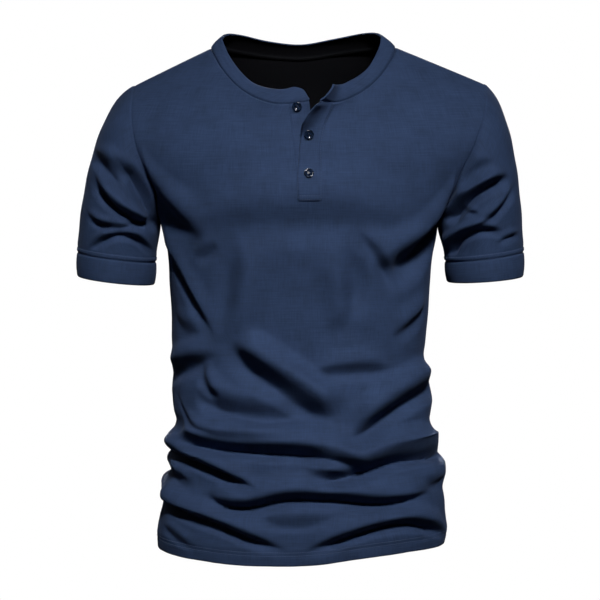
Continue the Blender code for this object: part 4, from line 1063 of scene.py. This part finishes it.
def shown(name, data):
    """An object in the scene."""
    made = bpy.data.objects.new(name, data)
    bpy.context.scene.collection.objects.link(made)
    return made


def finish_piece(made, node):
    """Give a finished object its body, and hide the solid that it stands for."""
    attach(made, BODY)
    if node:
        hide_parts(node)
    return made


def wall_of(piece, materials, left_out=None):
    """Build a piece: a grid on its outer points, extruded to its inner points."""
    rows, columns = piece.grid.shape[:2]
    inner = piece.grid - piece.square * piece.thick[..., None]
    across = lengths_from(piece.grid, 1, False)
    along = lengths_from(piece.grid, 0, False)
    across = across - across[:, columns // 2][:, None]
    if piece.level:
        along = piece.grid[..., 2] - HEM_Z
    form = bmesh.new()
    row_of = form.verts.layers.int.new("row")
    column_of = form.verts.layers.int.new("column")
    bmesh.ops.create_grid(form, x_segments=columns - 1, y_segments=rows - 1, size=1.0)
    for vert in form.verts:
        vert[column_of] = round((vert.co.x + 1) / 2 * (columns - 1))
        vert[row_of] = round((vert.co.y + 1) / 2 * (rows - 1))
    metres = form.loops.layers.uv.new("cloth")
    for face in form.faces:
        for loop in face.loops:
            at = loop.vert[row_of], loop.vert[column_of]
            loop[metres].uv = (across[at], along[at])
    if left_out:
        cut = [face for face in form.faces
               if left_out(min(v[row_of] for v in face.verts), min(v[column_of] for v in face.verts))]
        bmesh.ops.delete(form, geom=cut, context="FACES")
    for vert in form.verts:
        vert.co = Vector(piece.grid[vert[row_of], vert[column_of]])
    if piece.ring:
        bmesh.ops.remove_doubles(form, verts=form.verts, dist=1e-6)
    grown = bmesh.ops.extrude_face_region(form, geom=form.faces[:], use_keep_orig=True)["geom"]
    for part in grown:
        if isinstance(part, bmesh.types.BMVert):
            part.co = Vector(inner[part[row_of], part[column_of]])
        # The new faces, the reverse and the cut edges, take the second finish: on most pieces the near-black reverse,
        # painted shade.
        if isinstance(part, bmesh.types.BMFace):
            part.material_index = 1
    bmesh.ops.recalc_face_normals(form, faces=form.faces)
    mesh = mesh_from(form, piece.name)
    mesh.shade_smooth()
    mesh.set_sharp_from_angle(angle=math.radians(60))
    for finish in materials:
        mesh.materials.append(finish)
    return shown(f"{piece.name}_cloth", mesh)


def surface_at(piece, row, place):
    """A point and direction of a piece at fractional row and column."""
    r = min(int(row), piece.grid.shape[0] - 2)
    c = min(int(place), piece.grid.shape[1] - 2)
    a, b = row - r, place - c
    weights = ((1 - a) * (1 - b), (1 - a) * b, a * (1 - b), a * b)
    spots = ((r, c), (r, c + 1), (r + 1, c), (r + 1, c + 1))
    point = sum(w * piece.grid[s] for w, s in zip(weights, spots))
    out = sum(w * piece.square[s] for w, s in zip(weights, spots))
    return point, unit(out)


def place_at(strip, distance, from_end):
    """Fractional index at a distance along a line of points from its first or last one."""
    walked = walked_along(strip)
    return float(np.interp(walked[-1] - distance if from_end else distance, walked, np.arange(len(strip))))


def line_along_row(piece, distance, from_end, columns=None):
    """Points and directions of a line at an even distance from a piece's first or last row."""
    columns = range(piece.grid.shape[1]) if columns is None else columns
    return [surface_at(piece, place_at(piece.grid[:, c], distance, from_end), c) for c in columns]


def line_along_column(piece, distance, from_end, rows):
    """Points and directions of a line at an even distance from a piece's first or last column."""
    return [surface_at(piece, row, place_at(piece.grid[row], distance, from_end)) for row in rows]


def stitches(line):
    """A thread's path along a line: up over each stitch, and down through the cloth between two stitches."""
    points, outs = (np.array(part) for part in zip(*line))
    walked = walked_along(points)
    count = max(2, round(walked[-1] / sewing().stitch))
    places = np.linspace(0.0, walked[-1], count * 6 + 1)
    wave = np.sin(math.pi * (np.arange(len(places)) % 6) / 6)
    height = sewing().thread_radius * (-2.6 + 3.5 * wave ** 0.5)
    path = np.stack([np.interp(places, walked, points[:, k]) for k in range(3)], axis=-1)
    out = unit(np.stack([np.interp(places, walked, outs[:, k]) for k in range(3)], axis=-1))
    return path + out * height[:, None]


def threads(name, paths, radius, finish):
    """Threads along paths, as one mesh."""
    curves = bpy.data.curves.new(name, "CURVE")
    curves.dimensions = "3D"
    curves.bevel_depth = radius
    curves.bevel_resolution = 1
    curves.use_fill_caps = True
    for path in paths:
        spline = curves.splines.new("POLY")
        spline.points.add(len(path) - 1)
        spline.points.foreach_set("co", np.concatenate([path, np.ones((len(path), 1))], axis=1).ravel())
    drawn = shown(name, curves)
    graph = bpy.context.evaluated_depsgraph_get()
    mesh = bpy.data.meshes.new_from_object(drawn.evaluated_get(graph))
    bpy.data.objects.remove(drawn)
    form = bmesh.new()
    form.from_mesh(mesh)
    bmesh.ops.remove_doubles(form, verts=form.verts, dist=1e-6)
    bmesh.ops.recalc_face_normals(form, faces=form.faces)
    form.to_mesh(mesh)
    form.free()
    mesh.name = name
    mesh.shade_smooth()
    mesh.materials.clear()
    mesh.materials.append(finish)
    return shown(name, mesh)


# ---------------------------------------------------------------------------------------------- materials

def add(tree, kind, **inputs):
    """A node of a kind, with values or links for its inputs by name or number."""
    node = tree.nodes.new(kind)
    for key, value in inputs.items():
        if key.startswith("set_"):
            setattr(node, key[4:], value)
            continue
        socket = node.inputs[int(key[1:])] if key[0] == "i" and key[1:].isdigit() else node.inputs[key]
        if isinstance(value, bpy.types.NodeSocket):
            tree.links.new(value, socket)
        else:
            socket.default_value = value
    return node


def maths(tree, operation, first, second=0.0, third=0.0):
    """The result of a Math node."""
    return add(tree, "ShaderNodeMath", set_operation=operation, i0=first, i1=second, i2=third).outputs[0]


def group(name, inputs, outputs):
    """A shader node group with its sockets, and its two ends."""
    tree = bpy.data.node_groups.new(name, "ShaderNodeTree")
    for label, kind, value in inputs:
        socket = tree.interface.new_socket(label, in_out="INPUT", socket_type=kind)
        if value is not None:
            socket.default_value = value
    for label, kind in outputs:
        tree.interface.new_socket(label, in_out="OUTPUT", socket_type=kind)
    return tree, tree.nodes.new("NodeGroupInput"), tree.nodes.new("NodeGroupOutput")


@functools.lru_cache(maxsize=1)
def knit_group():
    """Jersey knit: the height of its slanted loops, and a mask of its uneven dye and yarn, with a little painted
    shade between the loops.
    """
    tree, given, result = group(
        "Jersey knit",
        (("Cloth", "NodeSocketVector", None), ("Place", "NodeSocketVector", None),
         ("Wale", "NodeSocketFloat", 0.0009), ("Course", "NodeSocketFloat", 0.0007)),
        (("Height", "NodeSocketFloat"), ("Mask", "NodeSocketFloat")))
    parts = add(tree, "ShaderNodeSeparateXYZ", Vector=given.outputs["Cloth"])
    across = maths(tree, "DIVIDE", parts.outputs[0], given.outputs["Wale"])
    along = maths(tree, "DIVIDE", parts.outputs[1], given.outputs["Course"])
    from_middle = maths(tree, "ABSOLUTE", maths(tree, "SUBTRACT", maths(tree, "FRACT", across), 0.5))
    slanted = maths(tree, "FRACT", maths(tree, "MULTIPLY_ADD", from_middle, LOOP_SLANT, along))
    loop = maths(tree, "SINE", maths(tree, "MULTIPLY", slanted, math.pi))
    leg = maths(tree, "SUBTRACT", 1.0, maths(tree, "MULTIPLY", maths(tree, "POWER", from_middle, 2.0), 4.0))
    height = maths(tree, "MULTIPLY", leg, maths(tree, "MULTIPLY_ADD", loop, 0.5, 0.5))
    tree.links.new(height, result.inputs["Height"])
    stretched = add(tree, "ShaderNodeVectorMath", set_operation="MULTIPLY", i0=given.outputs["Cloth"],
                    i1=STREAKS)
    streaks = add(tree, "ShaderNodeTexNoise", Vector=stretched.outputs[0], Scale=1.0, Detail=2.0, Roughness=0.6)
    bars = add(tree, "ShaderNodeVectorMath", set_operation="MULTIPLY", i0=given.outputs["Cloth"], i1=YARN_ROWS)
    rows = add(tree, "ShaderNodeTexNoise", Vector=bars.outputs[0], Scale=1.0, Detail=2.0, Roughness=0.6)
    mottle = add(tree, "ShaderNodeTexNoise", Vector=given.outputs["Place"], Scale=CLOUDS, Detail=4.0, Roughness=0.6)
    yarns = maths(tree, "ADD", streaks.outputs[0], rows.outputs[0])
    mask = maths(tree, "MULTIPLY_ADD", yarns, YARN_SHARE, MASK_START)
    mask = maths(tree, "MULTIPLY_ADD", mottle.outputs[0], CLOUD_SHARE, mask)
    # Painted shade: the loops' height lightens their tops and darkens the hollows between them.
    mask = maths(tree, "MULTIPLY_ADD", height, LOOP_PAINTED_SHADE, mask)
    tree.links.new(maths(tree, "MINIMUM", maths(tree, "MAXIMUM", mask, 0.0), 1.0), result.inputs["Mask"])
    return tree


def shade(colour, share):
    """A colour made lighter or darker."""
    return tuple(min(1.0, c * share) for c in colour) + (1.0,)


def principled(name):
    """A new material, its nodes and its shader."""
    made = bpy.data.materials.new(name)
    made.use_nodes = True
    return made, made.node_tree, made.node_tree.nodes["Principled BSDF"]


def coloured(tree, shader, share, colour, dark, light):
    """Let a share from 0 to 1 vary the base colour between a darker and a lighter one."""
    mixed = add(tree, "ShaderNodeMix", set_data_type="RGBA", Factor=share, i6=shade(colour, dark),
                i7=shade(colour, light))
    tree.links.new(mixed.outputs[2], shader.inputs["Base Color"])


def camera_sees(tree, lit, seen, end):
    """Let the camera see one shader, and everything else the other."""
    path = add(tree, "ShaderNodeLightPath")
    mixed = add(tree, "ShaderNodeMixShader", Fac=path.outputs["Is Camera Ray"], i1=lit, i2=seen)
    tree.links.new(mixed.outputs[0], tree.nodes[end].inputs["Surface"])


@functools.lru_cache(maxsize=None)
def jersey(name, which, contrast, sheen, bump):
    """Cotton jersey: knit relief, uneven dye and a soft nap."""
    made, tree, shader = principled(name)
    cloth_uv = add(tree, "ShaderNodeUVMap", set_uv_map="cloth")
    place = add(tree, "ShaderNodeTexCoord")
    knit = add(tree, "ShaderNodeGroup", set_node_tree=knit_group())
    tree.links.new(cloth_uv.outputs[0], knit.inputs["Cloth"])
    tree.links.new(place.outputs["Object"], knit.inputs["Place"])
    knit.inputs["Wale"].default_value = sewing().wale
    knit.inputs["Course"].default_value = sewing().course
    coloured(tree, shader, knit.outputs["Mask"], getattr(colours(), which), 1.0 - contrast, 1.0 + contrast)
    relief = add(tree, "ShaderNodeBump", Strength=bump, Distance=LOOP_DEPTH, Height=knit.outputs["Height"])
    tree.links.new(relief.outputs[0], shader.inputs["Normal"])
    shader.inputs["Roughness"].default_value = 0.88
    shader.inputs["Specular IOR Level"].default_value = 0.18
    shader.inputs["Sheen Weight"].default_value = sheen
    shader.inputs["Sheen Roughness"].default_value = 0.42
    shader.inputs["Sheen Tint"].default_value = (0.42, 0.55, 0.92, 1.0)
    return made


def face_finish():
    """The jersey's face."""
    return jersey("navy_jersey", "jersey", contrast=0.32, sheen=0.04, bump=0.12)


def painted_shade_reverse_finish():
    """The jersey's reverse, near black: painted shade for the shirt's dark interior and the cloth's cut edges."""
    return jersey("jersey_reverse", "inside", contrast=0.30, sheen=0.0, bump=0.25)


@functools.lru_cache(maxsize=None)
def spun_thread(name, share):
    """Spun polyester sewing thread, in a share of its colour."""
    made, tree, shader = principled(name)
    place = add(tree, "ShaderNodeTexCoord")
    fibres = add(tree, "ShaderNodeTexNoise", Vector=place.outputs["Object"], Scale=1400.0, Detail=2.0)
    coloured(tree, shader, fibres.outputs[0], colours().thread, 0.8 * share, 1.25 * share)
    shader.inputs["Roughness"].default_value = 0.6
    shader.inputs["Specular IOR Level"].default_value = 0.3
    return made


def thread_finish():
    """Thread of the topstitching and hems."""
    return spun_thread("sewing_thread", 1.0)


def dark_thread_and_edge_shade_finish():
    """Thread at a fifth of its colour: darker thread on the buttons, and painted shade on the upper placket's left
    edge, where its stitches sit in shadow.
    """
    return spun_thread("button_thread", 0.2)


@functools.lru_cache(maxsize=1)
def button_finish():
    """Polished navy resin with a faint cloud in it."""
    made, tree, shader = principled("navy_resin")
    place = add(tree, "ShaderNodeTexCoord")
    cloud = add(tree, "ShaderNodeTexNoise", Vector=place.outputs["Object"], Scale=260.0, Detail=3.0, Distortion=1.5)
    coloured(tree, shader, cloud.outputs[0], colours().button, 0.7, 1.7)
    scratch = add(tree, "ShaderNodeTexNoise", Vector=place.outputs["Object"], Scale=900.0, Detail=2.0)
    rough = maths(tree, "MULTIPLY_ADD", scratch.outputs[0], 0.12, 0.10)
    tree.links.new(rough, shader.inputs["Roughness"])
    shader.inputs["Coat Weight"].default_value = 0.25
    shader.inputs["Coat Roughness"].default_value = 0.06
    return made


# ---------------------------------------------------------------------------------------------- operators

class HENLEY_OT_panels(bpy.types.Operator):
    """Front and back of single jersey, creased as they hang"""

    bl_idname = "henley.panels"
    bl_label = "Front and back"

    def execute(self, context):
        pieces = shirt()
        slit_row = len(under_arm_heights()) + ROWS_TO_SLIT - 2
        slit_column = len(column_places(STRIPS_NECK)) - 1

        def slit(row, strip):
            return row >= slit_row and slit_column <= strip < slit_column + COLUMNS_SLIT

        for name, left_out in (("front", slit), ("back", None)):
            made = wall_of(pieces[name], (face_finish(), painted_shade_reverse_finish()), left_out)
            finish_piece(made, name)
        return {"FINISHED"}


class HENLEY_OT_sleeves(bpy.types.Operator):
    """Set-in short sleeves of single jersey"""

    bl_idname = "henley.sleeves"
    bl_label = "Sleeves"

    def execute(self, context):
        for half in ("left", "right"):
            made = wall_of(shirt()[f"sleeve_{half}"], (face_finish(), painted_shade_reverse_finish()))
            finish_piece(made, f"sleeve_{half}")
        return {"FINISHED"}


class HENLEY_OT_bands(bpy.types.Operator):
    """Cuffs and neckband of doubled jersey"""

    bl_idname = "henley.bands"
    bl_label = "Cuffs and neckband"

    def execute(self, context):
        for name, kind in (("cuff_left", "cuff"), ("cuff_right", "cuff"), ("neckband", "neckband")):
            made = wall_of(shirt()[name], (face_finish(), painted_shade_reverse_finish()))
            finish_piece(made, name)
        return {"FINISHED"}


class HENLEY_OT_plackets(bpy.types.Operator):
    """Upper and lower placket, the upper one open at the top"""

    bl_idname = "henley.plackets"
    bl_label = "Plackets"

    def execute(self, context):
        for name in ("placket_under", "placket_top"):
            made = wall_of(shirt()[name], (face_finish(), face_finish()))
            finish_piece(made, name)
        return {"FINISHED"}


class HENLEY_OT_sewing(bpy.types.Operator):
    """Lines of stitches at the hem, the cuffs and the placket"""

    bl_idname = "henley.sewing"
    bl_label = "Sewing"

    def execute(self, context):
        pieces = shirt()
        radius = sewing().thread_radius
        for name in ("front", "back"):
            paths = [stitches(line_along_row(pieces[name], distance, False)) for distance in hem_lines()]
            finish_piece(threads(f"hem_stitches_{name}", paths, radius, thread_finish()), None)
        for half in ("left", "right"):
            line = line_along_row(pieces[f"sleeve_{half}"], cloth().welt + 0.0008, True)
            made = threads(f"cuff_stitches_{half}", [stitches(line)], radius, thread_finish())
            finish_piece(made, None)
        top = pieces["placket_top"]
        rows = range(2, top.grid.shape[0] - 2)
        columns = range(4, top.grid.shape[1] - 4)
        lines = [line_along_column(top, PLACKET_STITCHED_RIGHT, True, rows)]
        lines += [line_along_row(top, distance, False, columns) for distance in PLACKET_STITCHED_FOOT]
        made = threads("placket_stitches", [stitches(line) for line in lines], radius, thread_finish())
        finish_piece(made, None)
        # The left edge's stitches take the darker thread: painted shade, for the shadow in the edge's groove.
        edge = [stitches(line_along_column(top, PLACKET_STITCHED_LEFT, False, rows))]
        finish_piece(threads("placket_edge_stitches", edge, radius, dark_thread_and_edge_shade_finish()), None)
        return {"FINISHED"}


class HENLEY_OT_buttons(bpy.types.Operator):
    """Three resin buttons with four thread holes, sewn on"""

    bl_idname = "henley.buttons"
    bl_label = "Buttons"

    def execute(self, context):
        for number, spec in enumerate(BUTTONS, start=1):
            place, facing = self.seat(shirt()[spec.on], spec)
            turn = Vector(facing).to_track_quat("Z", "Y")
            made = self.disc(number, place, turn, spec)
            finish_piece(made, f"button_{number}")
            finish_piece(self.sewn_on(number, place, turn, spec), None)
        return {"FINISHED"}

    def seat(self, piece, spec):
        """Where a button rests on a piece, and the way it faces."""
        flat = piece.grid.reshape(-1, 3)
        near = np.hypot(flat[:, 0] - spec.x, flat[:, 2] - spec.z)
        under = near < 0.8 * sewing().button_radius
        facing = unit(piece.square.reshape(-1, 3)[under].mean(axis=0))
        middle = flat[near.argmin()]
        place = np.array([spec.x, middle[1], spec.z])
        raised = max(0.0, float(((flat[under] - place) @ facing).max(initial=0.0)))
        return place + facing * (raised + 0.0002), facing

    def disc(self, number, place, turn, spec):
        """A turned button with a rolled rim, a dished middle and four holes."""
        name = f"button_{number}_resin"
        radius, thick = sewing().button_radius, sewing().button_thick
        form = bmesh.new()
        ring = [form.verts.new((r * radius, 0.0, h * thick)) for r, h in BUTTON_PROFILE]
        edges = [form.edges.new(pair) for pair in zip(ring, ring[1:])]
        bmesh.ops.spin(form, geom=ring + edges, cent=(0, 0, 0), axis=(0, 0, 1), angle=2 * math.pi, steps=56,
                       use_merge=True)
        bmesh.ops.remove_doubles(form, verts=form.verts, dist=1e-6)
        bmesh.ops.recalc_face_normals(form, faces=form.faces)
        plain = shown("plain_button", mesh_from(form, name))
        form = bmesh.new()
        for x, y in self.holes(spec):
            hole = bmesh.ops.create_cone(form, cap_ends=True, segments=14, radius1=HOLE_RADIUS, radius2=HOLE_RADIUS,
                                         depth=4 * thick)["verts"]
            bmesh.ops.translate(form, verts=hole, vec=(x, y, 0.0))
        cutter = shown("holes", mesh_from(form, "holes"))
        cut = plain.modifiers.new("holes", "BOOLEAN")
        cut.operation = "DIFFERENCE"
        cut.object = cutter
        graph = bpy.context.evaluated_depsgraph_get()
        drilled = bpy.data.meshes.new_from_object(plain.evaluated_get(graph))
        bpy.data.objects.remove(plain)
        bpy.data.objects.remove(cutter)
        form = bmesh.new()
        form.from_mesh(drilled)
        for vert in form.verts:
            vert.co = turn @ vert.co + Vector(place)
        form.to_mesh(drilled)
        form.free()
        drilled.name = name
        drilled.shade_smooth()
        drilled.set_sharp_from_angle(angle=math.radians(48))
        drilled.materials.clear()
        drilled.materials.append(button_finish())
        return shown(name, drilled)

    def holes(self, spec):
        """Places of the four thread holes on a button."""
        around = [math.radians(spec.turned + 45 + 90 * k) for k in range(4)]
        return [(HOLE_FROM_MIDDLE * math.cos(a), HOLE_FROM_MIDDLE * math.sin(a)) for a in around]

    def sewn_on(self, number, place, turn, spec):
        """Thread through the holes: two bars of two strands over the dish."""
        low, high = -0.0006, sewing().button_thick * BAR_HEIGHT + 0.0003
        spots = self.holes(spec)
        paths = []
        for first, second in ((spots[0], spots[1]), (spots[3], spots[2])):
            for shift in (-BAR_SPACING, BAR_SPACING):
                bar = [(*first, low), (*first, high - 0.0003)]
                for t in np.linspace(0.12, 0.88, 7):
                    x = first[0] + (second[0] - first[0]) * t
                    y = first[1] + (second[1] - first[1]) * t
                    bar.append((x, y, high + BAR_SPACING * math.sin(math.pi * t)))
                bar += [(*second, high - 0.0003), (*second, low)]
                ahead = unit(np.array(second) - np.array(first))
                aside = np.array([-ahead[1], ahead[0], 0.0]) * shift
                paths.append(np.array([np.array(turn @ Vector(np.array(p) + aside)) + place for p in bar]))
        return threads(f"button_{number}_thread", paths, sewing().thread_radius, dark_thread_and_edge_shade_finish())


class HENLEY_OT_stage(bpy.types.Operator):
    """Pale floor, soft studio lights and the camera"""

    bl_idname = "henley.stage"
    bl_label = "Stage"

    def execute(self, context):
        form = bmesh.new()
        bmesh.ops.create_grid(form, x_segments=1, y_segments=1, size=FLOOR_HALF)
        bmesh.ops.translate(form, verts=form.verts, vec=(0.0, 0.0, stage().floor_z))
        mesh = mesh_from(form, "floor")
        mesh.materials.append(self.pale())
        shown("floor", mesh)
        self.sky(context)
        for lamp in LAMPS:
            self.light(lamp)
        self.camera(context)
        context.scene.view_settings.view_transform = "Standard"
        return {"FINISHED"}

    def pale(self):
        """A plain pale floor, which the camera sees brighter than it lights the shirt."""
        made, tree, shader = principled("pale_floor")
        shader.inputs["Base Color"].default_value = (0.16, 0.16, 0.16, 1.0)
        shader.inputs["Roughness"].default_value = 0.9
        glow = add(tree, "ShaderNodeEmission", Color=(1.0, 1.0, 1.0, 1.0), Strength=1.0)
        camera_sees(tree, shader.outputs[0], glow.outputs[0], "Material Output")
        return made

    def sky(self, context):
        """A dim even light from all round, and a white background."""
        world = bpy.data.worlds.new("studio")
        context.scene.world = world
        world.use_nodes = True
        tree = world.node_tree
        dim = tree.nodes["Background"]
        dim.inputs["Color"].default_value = (1.0, 1.0, 1.0, 1.0)
        dim.inputs["Strength"].default_value = stage().ambient
        white = add(tree, "ShaderNodeBackground", Color=(1.0, 1.0, 1.0, 1.0), Strength=1.0)
        camera_sees(tree, dim.outputs[0], white.outputs[0], "World Output")

    def light(self, lamp):
        """A square soft light that faces the shirt, with a grid on it that narrows its beam."""
        source = bpy.data.lights.new(lamp.name, "AREA")
        source.shape = "SQUARE"
        source.size = lamp.size
        source.energy = getattr(stage(), lamp.power)
        source.spread = math.radians(lamp.spread)
        self.facing(shown(lamp.name, source), (0.0, 0.0, lamp.aim_z), lamp.azimuth, lamp.elevation, lamp.distance)

    def camera(self, context):
        """The camera of the photo's view."""
        lens = bpy.data.cameras.new("camera")
        lens.lens = CAMERA_LENS
        lens.sensor_width = CAMERA_SENSOR
        made = shown("camera", lens)
        self.facing(made, CAMERA_AIM, 0.0, CAMERA_ELEVATION, CAMERA_DISTANCE)
        context.scene.camera = made

    def facing(self, made, aim, azimuth, elevation, distance):
        """Stand a light or the camera round the shirt, facing a point of it."""
        a, e = math.radians(azimuth), math.radians(elevation)
        out = Vector((math.sin(a) * math.cos(e), -math.cos(a) * math.cos(e), math.sin(e)))
        made.location = Vector(aim) + out * distance
        made.rotation_mode = "QUATERNION"
        made.rotation_quaternion = (-out).to_track_quat("-Z", "Y")


STEPS = (HENLEY_OT_panels, HENLEY_OT_sleeves, HENLEY_OT_bands, HENLEY_OT_plackets, HENLEY_OT_sewing,
         HENLEY_OT_buttons, HENLEY_OT_stage)
SETTINGS = {"henley_cloth": ClothSettings, "henley_colours": ColourSettings, "henley_sewing": SewingSettings,
            "henley_stage": StageSettings}


class HENLEY_PT_panel(bpy.types.Panel):
    """The shirt's pieces and settings"""

    bl_idname = "HENLEY_PT_panel"
    bl_label = "Henley shirt"
    bl_space_type = "VIEW_3D"
    bl_region_type = "UI"
    bl_category = "Shirt"

    def draw(self, context):
        for step in STEPS:
            self.layout.operator(step.bl_idname)
        for name, kind in SETTINGS.items():
            box = self.layout.box()
            box.label(text=kind.__doc__)
            for field in kind.__annotations__:
                box.prop(getattr(context.scene, name), field)


def register():
    """Add the operators, the panel and the settings to Blender."""
    for kind in (*SETTINGS.values(), *STEPS, HENLEY_PT_panel):
        bpy.utils.register_class(kind)
    for name, kind in SETTINGS.items():
        setattr(bpy.types.Scene, name, bpy.props.PointerProperty(type=kind))


def unregister():
    """Take the operators, the panel and the settings out of Blender."""
    for name in SETTINGS:
        delattr(bpy.types.Scene, name)
    for kind in reversed((*SETTINGS.values(), *STEPS, HENLEY_PT_panel)):
        bpy.utils.unregister_class(kind)


def main():
    """Build the shirt and its stage."""
    register()
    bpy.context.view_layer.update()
    for step in STEPS:
        area, name = step.bl_idname.split(".")
        getattr(getattr(bpy.ops, area), name)()


if __name__ == "__main__":
    main()
